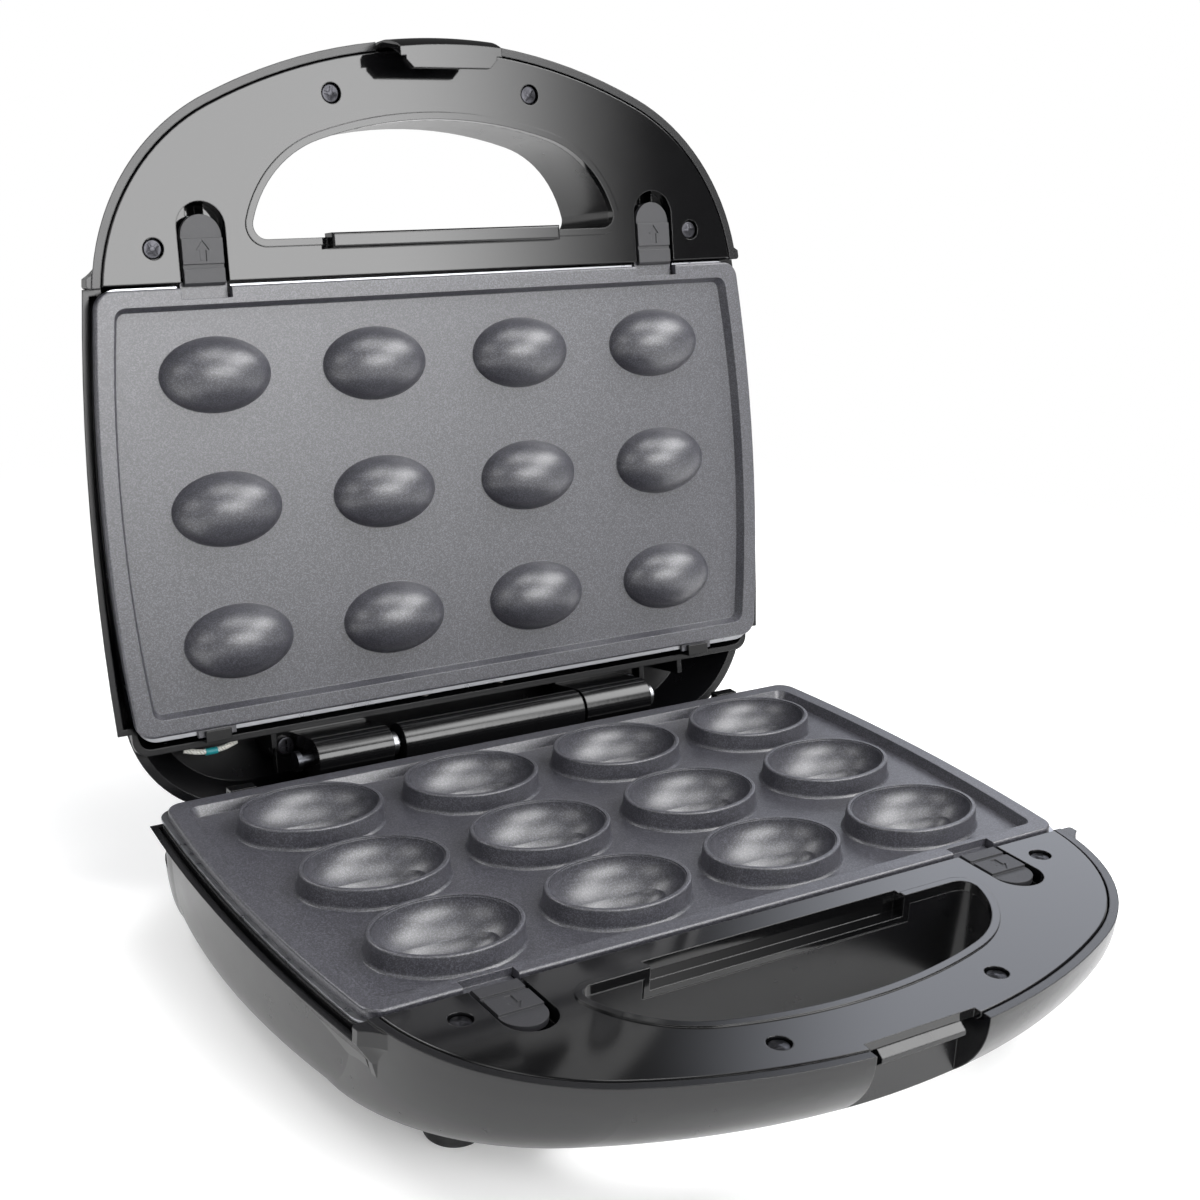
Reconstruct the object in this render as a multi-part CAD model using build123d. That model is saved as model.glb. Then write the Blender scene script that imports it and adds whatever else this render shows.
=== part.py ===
from build123d import *
import os
from math import asin, cos, radians, sin, sqrt

# Countertop biscuit maker with a hinged lid and two lift-out plates.  Millimetres, +Z up.
# Both halves are drawn in one half frame: the parting plane is z = 0, the half fills z < 0, the handle
# points to -Y and the hinge lies at +Y.  The lid's half is mirrored up and turned about the hinge pin to
# its open stop, and everything is then moved so that the origin is the footprint's centre on the table.

# ---------------------------------------------------------------- driving dimensions
# Whole appliance
OPEN_ANGLE = 101.8         # closed lid to its open stop
GAP = 0.3                  # clearance between parts that move past each other
FIT = 0.4                  # clearance round a part that drops into another
REACH = 300.0              # cutting boxes run this far past what they trim

# Cups and domes, whose pattern sets the plates' size
CUP_PITCH = 52.0
ROW_PITCH = 39.7
PATTERN_Y = 0.6
COLUMNS = 4
ROWS = 3
CUP_RIM = 2.75             # cup rim above the parting plane
CUP_LENGTH = 40.2
CUP_WIDTH = 29.0
CUP_DEPTH = 12.6
CUP_WALL = 1.2             # wall at the cup's rim
CUP_DRAFT = 0.35           # how much the outer wall spreads down to its foot
CUP_FOOT = 1.1             # rounding between the outer wall and the field
CUP_SKIN = 2.6             # metal under the cup
LOBE_LENGTH = 27.0         # lobes pressed into both sides of a cup
LOBE_RADIUS = 6.3
LOBE_Y = 7.3
LOBE_DROP = 4.2
DOME_LENGTH = 34.1
DOME_WIDTH = 21.9
DOME_HEIGHT = 9.4
DOME_SINK = 1.6            # dome's widest section behind the field

# Plates
SIDE_MARGIN = 14.3         # plate beyond the outermost cups, on each side
FRONT_MARGIN = 11.0
REAR_MARGIN = 10.2
PLATE_HALF_WIDTH = (COLUMNS - 1) / 2 * CUP_PITCH + CUP_LENGTH / 2 + SIDE_MARGIN
PLATE_FRONT = (ROWS - 1) / 2 * ROW_PITCH - PATTERN_Y + CUP_WIDTH / 2 + FRONT_MARGIN
PLATE_REAR = (ROWS - 1) / 2 * ROW_PITCH + PATTERN_Y + CUP_WIDTH / 2 + REAR_MARGIN
PLATE_BULGE = 3.9
PLATE_CORNER = 5.5
PLATE_TOP = 0.15           # rim below the parting plane, both halves
PLATE_SEAT = 2.6           # underside of the rim below the parting plane
PLATE_FIELD = 3.05         # cooking field below the parting plane
PLATE_UNDERSIDE = 6.3
PLATE_RIM_WIDTH = 5.0
PLATE_STEP = 4.8           # body of the plate inside its rim
NOTCH_WIDTH = 15.6
NOTCH_DEPTH = 3.3
LUG_WIDTH = 14.6
LUG_THICKNESS = 1.7
LUG_TOP = -2.5
LUG_REACH = PLATE_FRONT + 1.7
REAR_LUG_X = PLATE_HALF_WIDTH - 24.4
REAR_LUG_WIDTH = 12.0
REAR_LUG_LENGTH = 2.4

# Shell outlines at the rim
HALF_WIDTH = PLATE_HALF_WIDTH + 1.2
FRONT = PLATE_FRONT + 71.6
REAR_WALL_Y = PLATE_REAR + 4.0
REAR = REAR_WALL_Y + 24.6
FRONT_RADIUS = 175.0
CORNER_RADIUS = 67.0
SHELL_WALL = 2.5
BOWL_STEPS = 6
HANDLE_RIM = 0.8           # handle lip below the parting plane, both halves
CHEEK_FRONT = PLATE_FRONT + 0.9    # flared sides run between these two beside the plates
CHEEK_REAR = PLATE_REAR - 1.4
CHEEK_INNER = PLATE_HALF_WIDTH - 12.4
CHEEK_WALL = 1.9
SHOULDER_DROP = 0.4        # the flares' raised front ends below the handle's lip
SHOULDER_LENGTH = 10.0
SHOULDER_WIDTH = 6.6
REAR_WALL = 2.0
REAR_WALL_TOP = 5.6
LEDGE_INNER = PLATE_HALF_WIDTH - 6.4
# What differs between the two mouldings: depths run down from the parting plane, draws are how far each
# side has moved in at the flat face, lean is the angle the side wall's curve starts at, and the flare
# lists the height and the front and rear half widths of the sides beside the plates from the edge inwards
BASE = dict(lid=False, depth=34.5, rim=2.0, lean=0.0, side_draw=5.0, front_draw=56.0, rear_draw=6.0,
            rear_half_width=HALF_WIDTH, bulge=4.9, rear_radius=35.6, flat_front_radius=211.0,
            flat_corner_radius=35.0, flat_rear_radius=30.0, rear_rim=19.4, trough=23.0,
            flare=[(-5.2, PLATE_HALF_WIDTH + 5.0, PLATE_HALF_WIDTH + 5.0),
                   (-11.0, PLATE_HALF_WIDTH + 1.1, PLATE_HALF_WIDTH + 1.1),
                   (-15.0, PLATE_HALF_WIDTH - 0.1, PLATE_HALF_WIDTH - 0.1)],
            flare_bulge=3.5, tray_bulge=3.3, band=PLATE_HALF_WIDTH + 2.4, band_floor=8.0,
            tray=PLATE_HALF_WIDTH + 1.8, tray_depth=16.5, tray_floor=PLATE_HALF_WIDTH - 5.9,
            heater=PLATE_HALF_WIDTH - 8.4)
LID = dict(lid=True, depth=33.0, rim=1.0, lean=50.0, side_draw=26.0, front_draw=56.0, rear_draw=8.0,
           rear_half_width=HALF_WIDTH + 3.3, bulge=3.3, rear_radius=36.5, flat_front_radius=205.0,
           flat_corner_radius=32.0, flat_rear_radius=30.0, rear_rim=9.0, trough=24.0,
           flare=[(-5.2, PLATE_HALF_WIDTH + 2.3, PLATE_HALF_WIDTH + 4.8),
                  (-9.0, PLATE_HALF_WIDTH - 0.1, PLATE_HALF_WIDTH + 2.4),
                  (-18.0, PLATE_HALF_WIDTH - 5.2, PLATE_HALF_WIDTH - 2.7)],
           flare_bulge=2.9, tray_bulge=4.3, band=PLATE_HALF_WIDTH - 0.3, band_floor=7.5,
           tray=PLATE_HALF_WIDTH - 0.9, tray_depth=11.3, tray_floor=PLATE_HALF_WIDTH - 9.4,
           heater=PLATE_HALF_WIDTH - 12.4)

# Handle deck, its hole and its screws
DECK_TOP = 0.6
DECK_THICKNESS = 2.5
DECK_REAR = PLATE_FRONT + 1.3
HOLE_HALF_WIDTH = 66.9
HOLE_FRONT = FRONT - 21.7
HOLE_REAR = PLATE_FRONT + 10.8
HOLE_FRONT_RADIUS = 139.0
HOLE_CORNER_RADIUS = 37.0
HOLE_REAR_FILLET = 6.5
HOLE_LIP_WIDTH = 2.2
HOLE_LIP_HEIGHT = 0.45
DECK_SCREWS = [(PLATE_HALF_WIDTH - 18.1, -PLATE_FRONT - 11.4), (34.6, -FRONT + 16.2)]
RIB_HALF_LENGTH = 40.0
RIB_WIDTH = 4.6
RIB_HEIGHT = 4.0
GROOVE_DEPTH = 6.6

# Screws
SCREW_RADIUS = 1.5
SCREW_HEAD_RADIUS = 2.9
SCREW_HEAD = 1.8
SCREW_LENGTH = 12.0
PILOT_RADIUS = 1.5
PILOT_FLOOR = 0.5          # moulding left under a pilot hole
BOSS_RADIUS = 4.2
DECK_PAD = 5.6             # deck screw pads down to here
HEAD_RECESS = 0.7          # deck screw heads below the deck's face

# Plate release tabs
TAB_X = PLATE_HALF_WIDTH - 33.0
TAB_WIDTH = 12.6
TAB_TIP = PLATE_FRONT + GAP
TAB_END = TAB_TIP + 20.6
TAB_STEP = TAB_TIP + 13.7
TAB_STEM_Y = TAB_TIP + 11.1
TAB_TRAVEL = 3.2
TAB_THICKNESS = 2.4
RECESS_WIDTH = 15.0
RECESS_END = TAB_END + TAB_TRAVEL + 0.5
RECESS_FLOOR = 5.0
RECESS_WALL = 1.6
STEM_WIDTH = 5.0
STEM_LENGTH = 4.0
STEM_DEPTH = 11.0
SPRING_RADIUS = 2.0
SPRING_WIRE = 0.25
SPRING_LENGTH = 8.0
SPRING_Z = -9.0
SPRING_POCKET = 12.8
SPRING_TURNS = 6

# Reflector trays
SHEET = 0.8
TRAY_FRONT = PLATE_FRONT + 0.6
TRAY_REAR = PLATE_REAR + 1.6
TRAY_CORNER = 6.5
PAN_HALF_WIDTH = PLATE_HALF_WIDTH - 2.4
PAN_FRONT = PLATE_FRONT - 2.4
PAN_REAR = PLATE_REAR - 2.5
PAN_CORNER = 5.0
BETWEEN_ROWS = PATTERN_Y + ROW_PITCH / 2
TRAY_SCREWS = [(CUP_PITCH, BETWEEN_ROWS), (-CUP_PITCH, BETWEEN_ROWS)]

# Heaters and electrics
HEATER_RADIUS = 3.2
HEATER_Z = -PLATE_UNDERSIDE - HEATER_RADIUS - 0.55
HEATER_FRONT = PATTERN_Y - ROW_PITCH / 2
HEATER_REAR = PAN_REAR - 5.0
HEATER_TAIL_X = 14.0
HEATER_TAIL_END = REAR_WALL_Y - 3.0
HEATER_BEND = 7.5
THERMOSTAT_RADIUS = 8.0
THERMOSTAT_HEIGHT = 6.0
LEAD_RADIUS = 1.2

# Hinge
HINGE_Y = REAR_WALL_Y + 10.2
HINGE_DROP = 1.4           # hinge pin below the parting plane
KNUCKLE_RADIUS = 6.2
PIN_RADIUS = 2.0
PIN_CLEARANCE = 0.05
KNUCKLES = [(-60.0, -34.5), (-30.5, 35.5), (36.5, 62.0)]
PIN_HEAD = 3.2
BRACKET_LEVEL = 12.0
BRACKET_PLATE = 2.5
BRACKET_FRONT = REAR_WALL_Y + 2.6
BRACKET_REAR = HINGE_Y + 5.8
WEB_FRONT = REAR_WALL_Y + 4.0
WEB_THICKNESS = 3.5
EAR = 5.9                  # foot plates stand this far past the barrels

# Lid latch and its recess
LATCH_WIDTH = 34.8
LATCH_WALL = 2.2
LATCH_TIP = 13.0
LATCH_PIVOT = (-FRONT + 5.2, 8.6)
LATCH_PIN_RADIUS = 1.0
LATCH_OPENING = 18.5
LATCH_OPENING_TOP = 13.7
RECESS_HALF = LATCH_WIDTH / 2 + 0.5
RECESS_BACK = FRONT - 11.0
NOTCH_BACK = FRONT - 6.2
LEDGE_TIP = FRONT - 4.0
LEDGE_HALF = 13.3

# Feet, cord inlet and lamps
FOOT_X = PLATE_HALF_WIDTH - 26.4
FOOT_FRONT = -PLATE_FRONT + 4.6
FOOT_REAR = PLATE_REAR + 1.0
FOOT_RADIUS = 8.0
FOOT_HEIGHT = 8.0
FOOT_PAD = 1.0
FOOT_STEM = 2.6
GLAND_X = -74.0
GLAND_DEPTH = BASE["depth"] - 8.0
GLAND_FACE = REAR - 1.0
GLAND_BORE = 3.7
GLAND_BODY = 4.7
GLAND_FLANGE = 6.0
TERMINAL_HALF = 14.0
TERMINAL_Y = (34.0, 46.0)
LAMP_X = 9.0
LAMP_Y = -50.0
LAMP_RADIUS = 3.4

SEAT = -PLATE_SEAT - SHEET
CENTRES = [((column - (COLUMNS - 1) / 2) * CUP_PITCH, PATTERN_Y + (row - (ROWS - 1) / 2) * ROW_PITCH)
           for row in range(ROWS) for column in range(COLUMNS)]


# ---------------------------------------------------------------- shared shapes
def block(x_span, y_span, z_span):
    """Box between the given pairs of coordinates."""
    (x0, x1), (y0, y1), (z0, z1) = (sorted(span) for span in (x_span, y_span, z_span))
    return Pos((x0 + x1) / 2, (y0 + y1) / 2, (z0 + z1) / 2) * Box(x1 - x0, y1 - y0, z1 - z0)


def post(x, y, radius, z_low, z_high):
    """Upright cylinder between two heights."""
    return Pos(x, y, (z_low + z_high) / 2) * Cylinder(radius, z_high - z_low)


def slab(face, z_low, z_high):
    """Face on the XY plane made a solid between two heights."""
    return extrude(Pos(0, 0, z_low) * face, amount=z_high - z_low, dir=(0, 0, 1))


def profile_solid(points, x_low, x_high):
    """Side profile, given as (y, z) points, made a solid between two x positions."""
    wire = Polyline([(0, y, z) for y, z in points], close=True)
    return Pos(x_low, 0, 0) * extrude(make_face(wire), amount=x_high - x_low, dir=(1, 0, 0))


def rod_x(y, z, radius, x_low, x_high):
    """Round rod along X between two x positions."""
    return Pos((x_low + x_high) / 2, y, z) * Rot(0, 90, 0) * Cylinder(radius, x_high - x_low)


def d_outline(half_width, front, front_radius, corner_radius):
    """Points on one side of a D-shaped front: join, corner middle and corner end."""
    turn = asin((half_width - corner_radius) / (front_radius - corner_radius))
    centre = (0.0, front_radius - front)
    corner_x = (front_radius - corner_radius) * sin(turn)
    corner_y = centre[1] - (front_radius - corner_radius) * cos(turn)
    join = (front_radius * sin(turn), centre[1] - front_radius * cos(turn))
    half_turn = (turn + radians(90)) / 2
    middle = (corner_x + corner_radius * sin(half_turn), corner_y - corner_radius * cos(half_turn))
    return join, middle, (corner_x + corner_radius, corner_y)


def mirrored(point):
    return (-point[0], point[1])


def shell_outline(form, inset=0.0, side=0.0, end=0.0):
    """Shell outline as a face; side and end run from 0 at the rim to 1 at the flat face."""
    half_width = HALF_WIDTH - form["side_draw"] * side - inset
    rear_half_width = form["rear_half_width"] - form["side_draw"] * side - inset
    front = FRONT - form["front_draw"] * end - inset
    rear = REAR - form["rear_draw"] * end - inset
    front_radius = FRONT_RADIUS + (form["flat_front_radius"] - FRONT_RADIUS) * end - inset
    corner_radius = CORNER_RADIUS + (form["flat_corner_radius"] - CORNER_RADIUS) * end - inset
    rear_radius = form["rear_radius"] + (form["flat_rear_radius"] - form["rear_radius"]) * end - inset
    join, middle, corner = d_outline(half_width, front, front_radius, corner_radius)
    rear_start = (rear_half_width, rear - rear_radius)
    diagonal = rear_radius * (1 - sqrt(0.5))
    rear_middle = (rear_half_width - diagonal, rear - diagonal)
    rear_end = (rear_half_width - rear_radius, rear)
    bulge = form["bulge"] * (1 - 0.3 * side)
    side_middle = ((half_width + rear_half_width) / 2 + bulge, (corner[1] + rear_start[1]) / 2)
    edges = [
        ThreePointArc(mirrored(join), (0, -front), join),
        ThreePointArc(join, middle, corner),
        ThreePointArc(corner, side_middle, rear_start),
        ThreePointArc(rear_start, rear_middle, rear_end),
        Line(rear_end, mirrored(rear_end)),
        ThreePointArc(mirrored(rear_end), mirrored(rear_middle), mirrored(rear_start)),
        ThreePointArc(mirrored(rear_start), mirrored(side_middle), mirrored(corner)),
        ThreePointArc(mirrored(corner), mirrored(middle), mirrored(join)),
    ]
    return make_face(edges)


def bowl(form, inset=0.0, top=0.0):
    """Solid bowl of a shell, drawn in by inset all round, from its flat face up to top."""
    fall = form["depth"] - form["rim"] - inset
    lean = radians(form["lean"])
    sections = []
    for step in range(BOWL_STEPS + 1):
        drop = sin(radians(90 * step / BOWL_STEPS))
        end = 1 - sqrt(1 - drop ** 2)
        side_sine = sin(lean) + drop * (1 - sin(lean))
        side = 1 - sqrt(1 - side_sine ** 2) / cos(lean)
        sections.append(Pos(0, 0, -form["rim"] - fall * drop) * shell_outline(form, inset, side, end))
    return loft(sections) + slab(shell_outline(form, inset), -form["rim"], top)


def side_strip(front_half, rear_half, bulge, inner, y_front, y_rear):
    """Plan face between an inner straight line and a bulging side arc, for the +X side."""
    middle = ((front_half + rear_half) / 2 + bulge, (y_rear - y_front) / 2)
    return make_face([
        ThreePointArc((front_half, -y_front), middle, (rear_half, y_rear)),
        Line((rear_half, y_rear), (inner, y_rear)),
        Line((inner, y_rear), (inner, -y_front)),
        Line((inner, -y_front), (front_half, -y_front)),
    ])


def both_sides(solid):
    return solid + mirror(solid, about=Plane.YZ)


def cheeks(form, inset=0.0):
    """Flared sides beside the plates that stand out at the edge and run out into the wall below."""
    sections = []
    for height, front_half, rear_half in form["flare"]:
        strip = side_strip(front_half - inset, rear_half - inset, form["flare_bulge"], CHEEK_INNER - inset,
                           CHEEK_FRONT - inset, CHEEK_REAR - inset)
        sections.append(Pos(0, 0, height) * strip)
    return both_sides(loft(sections[::-1], ruled=True))


def shoulders(form):
    """Front ends of the flared sides: they rise to the handle's lip and curve into its wall."""
    near, far = -CHEEK_FRONT, -CHEEK_FRONT - SHOULDER_LENGTH
    levels = [(level[0], level[1]) for level in form["flare"]]
    sections = []
    for height, wing in [(-HANDLE_RIM - SHOULDER_DROP, levels[0][1])] + levels:
        tip = wing - SHOULDER_WIDTH
        face = make_face([
            Line((CHEEK_INNER, near), (wing - 1.0, near)),
            ThreePointArc((wing - 1.0, near), (wing - 0.3, near - 0.3), (wing, near - 1.0)),
            Line((wing, near - 1.0), (wing - 0.2, near - 3.0)),
            ThreePointArc((wing - 0.2, near - 3.0), (wing + 0.6 * (tip - wing), near + 0.6 * (far - near)),
                          (tip, far)),
            Line((tip, far), (CHEEK_INNER, far)),
            Line((CHEEK_INNER, far), (CHEEK_INNER, near)),
        ])
        sections.append(Pos(0, 0, height) * face)
    return both_sides(loft(sections[::-1], ruled=True))


def hole_outline(inset=0.0):
    """Handle hole as a face: D-shaped front, straight rear edge with rounded corners."""
    join, middle, corner = d_outline(HOLE_HALF_WIDTH - inset, HOLE_FRONT - inset,
                                     HOLE_FRONT_RADIUS - inset, HOLE_CORNER_RADIUS - inset)
    radius = HOLE_CORNER_RADIUS - inset
    rear = -HOLE_REAR - inset
    centre_x = corner[0] - radius
    rear_x = centre_x + sqrt(radius ** 2 - (rear - corner[1]) ** 2)
    start, end = asin((join[0] - centre_x) / radius), asin((rear_x - centre_x) / radius)
    half_turn = (start + end) / 2
    side = (centre_x + radius * sin(half_turn), corner[1] - radius * cos(half_turn))
    rear_corner = (rear_x, rear)
    face = make_face([
        ThreePointArc(mirrored(join), (0, -HOLE_FRONT + inset), join),
        ThreePointArc(join, side, rear_corner),
        Line(rear_corner, mirrored(rear_corner)),
        ThreePointArc(mirrored(rear_corner), mirrored(side), mirrored(join)),
    ])
    corners = face.vertices().sort_by(Axis.Y)[-2:]
    return fillet(corners, HOLE_REAR_FILLET - inset)


def rounded_panel(half_width, bulge, front, rear, corner):
    """Plate-like outline: straight front and rear, bulging sides, rounded corners."""
    middle_y = (rear - front) / 2
    face = make_face([
        Line((-half_width, -front), (half_width, -front)),
        ThreePointArc((half_width, -front), (half_width + bulge, middle_y), (half_width, rear)),
        Line((half_width, rear), (-half_width, rear)),
        ThreePointArc((-half_width, rear), (-half_width - bulge, middle_y), (-half_width, -front)),
    ])
    return fillet(face.vertices(), corner)


def ellipsoid(length, width, height):
    """Ellipsoid of the given full length and width and half height, centred on the origin."""
    return scale(Sphere(1), by=(length / 2, width / 2, height))


def screw(x, y, head_top):
    """Cross-head screw pointing down from its head's top face."""
    head = post(x, y, SCREW_HEAD_RADIUS, head_top - SCREW_HEAD, head_top)
    shank = post(x, y, SCREW_RADIUS - 0.1, head_top - SCREW_HEAD - SCREW_LENGTH, head_top - SCREW_HEAD)
    cross = block((x - 1.8, x + 1.8), (y - 0.35, y + 0.35), (head_top - 1.0, head_top + 1))
    cross += block((x - 0.35, x + 0.35), (y - 1.8, y + 1.8), (head_top - 1.0, head_top + 1))
    head = fillet(head.edges().filter_by(GeomType.CIRCLE).sort_by(Axis.Z)[-1], 0.5)
    return head + shank - cross


def group(solids):
    """Loose solids kept apart in one node."""
    return Compound(children=[solid.solid() for solid in solids])


# ---------------------------------------------------------------- half-frame components
def shell_block(form, x_span, y_span, z_span, inset=0.6):
    """Box trimmed to the inside of the shell's outer surface."""
    return block(x_span, y_span, z_span) & bowl(form, inset, max(z_span))


def shell(form):
    """Outer moulding of one half, without the openings only one half has."""
    edge = form["flare"][0][0]
    bottom, floor = -form["depth"], -form["depth"] + SHELL_WALL
    beside = (-CHEEK_FRONT, CHEEK_REAR)
    body = bowl(form, 0, -HANDLE_RIM)
    cavity = bowl(form, SHELL_WALL, 1)
    body -= block((-REACH, REACH), beside, (edge, 1))
    body -= block((-REACH, REACH), (CHEEK_REAR, REACH), (-form["rear_rim"], 1))
    body = body + cheeks(form) + shoulders(form) - cavity - cheeks(form, CHEEK_WALL)
    # ledge that carries the tray's rim
    bulge = form["tray_bulge"]
    band = rounded_panel(form["band"], bulge, PLATE_FRONT + 0.2, PLATE_REAR - 1.7, 6)
    band -= rounded_panel(PAN_HALF_WIDTH + SHEET + GAP, bulge, PAN_FRONT + SHEET + GAP, PAN_REAR + 0.8, 5)
    ledge = slab(band, -form["band_floor"], SEAT)
    body += ledge - block((-LEDGE_INNER, LEDGE_INNER), (-REACH, REACH), (-20, 0))
    # rear inner wall with its returns, and the floor of the trough behind it
    ring = rounded_panel(PLATE_HALF_WIDTH + 0.2, 0.5, 0, REAR_WALL_Y + REAR_WALL, 5)
    ring -= rounded_panel(PLATE_HALF_WIDTH - 1.5, 0.5, 10, REAR_WALL_Y, 4)
    wall = slab(ring, floor - 0.5, -REAR_WALL_TOP) & bowl(form, 0.6, 0)
    body += wall - block((-REACH, REACH), (-REACH, CHEEK_REAR - 1.2), (-REACH, 10))
    body += shell_block(form, (-REACH, REACH), (REAR_WALL_Y + 0.5, REACH),
                        (-form["trough"] - 2, -form["trough"]))
    # sleeve round the handle hole
    sleeve = slab(hole_outline(0.4), -2 * form["depth"], -DECK_TOP - DECK_THICKNESS) & bowl(form, 0, 0)
    body = body + sleeve - slab(hole_outline(HOLE_LIP_WIDTH), -2 * form["depth"], 2)
    # posts under the deck, the tray and the hinge bracket
    for x, y in deck_screw_places():
        body += post(x, y, BOSS_RADIUS, floor - 1, -DECK_PAD) & bowl(form, 0.6, 0)
    for x, y in TRAY_SCREWS:
        body += post(x, y, BOSS_RADIUS, floor - 1, tray_bottom(form))
    for x, y in bracket_screws(form):
        body += post(x, y, BOSS_RADIUS, floor - 1, -BRACKET_LEVEL - BRACKET_PLATE) & bowl(form, 0.6, 0)
    for x, y in deck_screw_places():
        body -= post(x, y, PILOT_RADIUS, -DECK_PAD - 11, 0)
    for x, y in TRAY_SCREWS + bracket_screws(form):
        body -= post(x, y, PILOT_RADIUS, floor + PILOT_FLOOR, 0)
    # ribs on the back of the rear wall
    for x in (-67.0, 70.0, 86.0):
        body += shell_block(form, (x - 0.9, x + 0.9), (REAR_WALL_Y + 1, REAR_WALL_Y + 7.5),
                            (-form["trough"] - 1, -REAR_WALL_TOP - 4))
    # slots the heater tails and their leads pass through
    slot = HEATER_TAIL_X + 6.0
    body -= block((-slot, slot), (REAR_WALL_Y - 1, REAR_WALL_Y + 3), (floor + 1, floor + 6))
    return body


def deck_screw_places():
    return [(side * x, y) for x, y in DECK_SCREWS for side in (-1, 1)]


def bracket_screws(form):
    """Screw places of the hinge brackets: one pair outside the base barrel, two per lid bracket."""
    if not form["lid"]:
        return [(x, HINGE_Y - 2.7) for x in (KNUCKLES[1][0] - 3.0, KNUCKLES[1][1] + 3.0)]
    (left, left_end), (right, right_end) = KNUCKLES[0], KNUCKLES[2]
    return [(left - 3.0, HINGE_Y - 2.7), (left_end - 6.0, HINGE_Y + 1.8),
            (right + 6.0, HINGE_Y + 1.8), (right_end + 3.0, HINGE_Y - 2.7)]


def tray_bottom(form):
    return SEAT - form["tray_depth"]


def spring_end():
    return -TAB_STEM_Y - STEM_LENGTH / 2 - SPRING_LENGTH


def deck(form):
    """Handle deck: lip round the hole, screw pockets and the release tabs' recesses."""
    low = -DECK_TOP - DECK_THICKNESS
    plate = slab(shell_outline(form, SHELL_WALL + FIT), low, -DECK_TOP)
    plate = plate & block((-REACH, REACH), (-REACH, -DECK_REAR), (-20, 5))
    plate = chamfer(plate.faces().sort_by(Axis.Z)[-1].edges(), 0.35)
    plate = chamfer(plate.faces().sort_by(Axis.Z)[0].edges(), 1.2)
    plate += slab(hole_outline(0), -DECK_TOP, -DECK_TOP + HOLE_LIP_HEIGHT)
    for x, y in deck_screw_places():
        plate += post(x, y, BOSS_RADIUS, -DECK_PAD, low)
    for side in (-1, 1):
        x = side * TAB_X
        plate += tab_slot(x, RECESS_WIDTH / 2 + RECESS_WALL, -RECESS_FLOOR - RECESS_WALL, low)
        plate += block((x - 4.6, x + 4.6), (spring_end() - TAB_TRAVEL - 2.3, -TAB_STEM_Y + 3.5),
                       (-SPRING_POCKET, -RECESS_FLOOR - RECESS_WALL + 0.1))
    plate -= slab(hole_outline(HOLE_LIP_WIDTH), -20, 5)
    for x, y in deck_screw_places():
        plate -= post(x, y, SCREW_HEAD_RADIUS + 0.3, -DECK_TOP - HEAD_RECESS - SCREW_HEAD, 0)
        plate -= post(x, y, SCREW_RADIUS + 0.15, -DECK_PAD - 1, 0)
    for side in (-1, 1):
        x = side * TAB_X
        plate -= tab_slot(x, RECESS_WIDTH / 2, -RECESS_FLOOR, 2)
        plate -= block((x - STEM_WIDTH / 2 - 0.3, x + STEM_WIDTH / 2 + 0.3),
                       (spring_end() - TAB_TRAVEL - 0.4, -TAB_STEM_Y + STEM_LENGTH / 2 + 0.3),
                       (-SPRING_POCKET + 1.2, -RECESS_FLOOR + 0.01))
    return plate


def tab_slot(x, half_width, z_low, z_high):
    """Round-ended slot under a release tab, open towards the plate."""
    reach = half_width - RECESS_WIDTH / 2
    centre_y = -RECESS_END + RECESS_WIDTH / 2
    slot = block((x - half_width, x + half_width), (centre_y, -DECK_REAR + (0 if reach else 2)),
                 (z_low, z_high))
    return slot + post(x, centre_y, half_width, z_low, z_high)


def base_groove(solid):
    """Notch behind the handle hole that takes the lid's rib."""
    back, front = -HOLE_REAR + 2.0, -HOLE_REAR - HOLE_LIP_WIDTH
    half = RIB_HALF_LENGTH + 1.6
    tray = block((-half - 1.8, half + 1.8), (front, back + 1.8), (-GROOVE_DEPTH - 1.8, -DECK_TOP - 0.2))
    return solid + tray - block((-half, half), (front - 8, back), (-GROOVE_DEPTH, 3))


def release_tab(side):
    """Sliding tab: round thumb end, step, engraved arrow and a turned-down tongue over the plate's lug."""
    x = side * TAB_X
    half = TAB_WIDTH / 2
    top, low = -DECK_TOP, -DECK_TOP - TAB_THICKNESS
    body = block((x - half, x + half), (-TAB_END + half, -TAB_TIP - 2.8), (low, top))
    body += post(x, -TAB_END + half, half, low, top)
    body += block((x - half, x + half), (-TAB_TIP - 3.0, -TAB_TIP), (top - 1.6, top))
    body -= block((x - half - 1, x + half + 1), (-TAB_END - 1, -TAB_STEP), (top - 0.7, top + 1))
    body -= block((x - half - 1, x + half + 1), (-TAB_TIP - 6.3, -TAB_TIP - 5.0), (top - 0.5, top + 1))
    nose = body.edges().filter_by(Axis.X).group_by(Axis.Y)[-1].sort_by(Axis.Z)[-1]
    body = chamfer(nose, 0.9)
    neck = -TAB_TIP - 10.3
    shaft = block((x - 1.0, x + 1.0), (neck, neck + 3.2), (top - 0.3, top + 1))
    head = Pos(x, neck, top - 0.3) * extrude(make_face(Polyline([(-2.0, 0), (2.0, 0), (0, -2.8)],
                                                              close=True)), amount=1.3)
    body -= shaft + head
    stem_half, stem_y = STEM_WIDTH / 2, -TAB_STEM_Y
    body += block((x - stem_half, x + stem_half), (stem_y - STEM_LENGTH / 2, stem_y + STEM_LENGTH / 2),
                  (-STEM_DEPTH, low))
    return body


def tab_spring(side):
    """Compression spring between a tab's stem and the end of its pocket."""
    wire = SPRING_WIRE
    length = SPRING_LENGTH - 2 * wire
    path = Helix(length / SPRING_TURNS, length, SPRING_RADIUS - wire)
    coil = sweep(Plane(path @ 0, z_dir=path % 0) * Circle(wire), path=path, is_frenet=True)
    start = -TAB_STEM_Y - STEM_LENGTH / 2 - wire
    return Pos(side * TAB_X, start, SPRING_Z) * Rot(90, 0, 0) * coil


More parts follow.
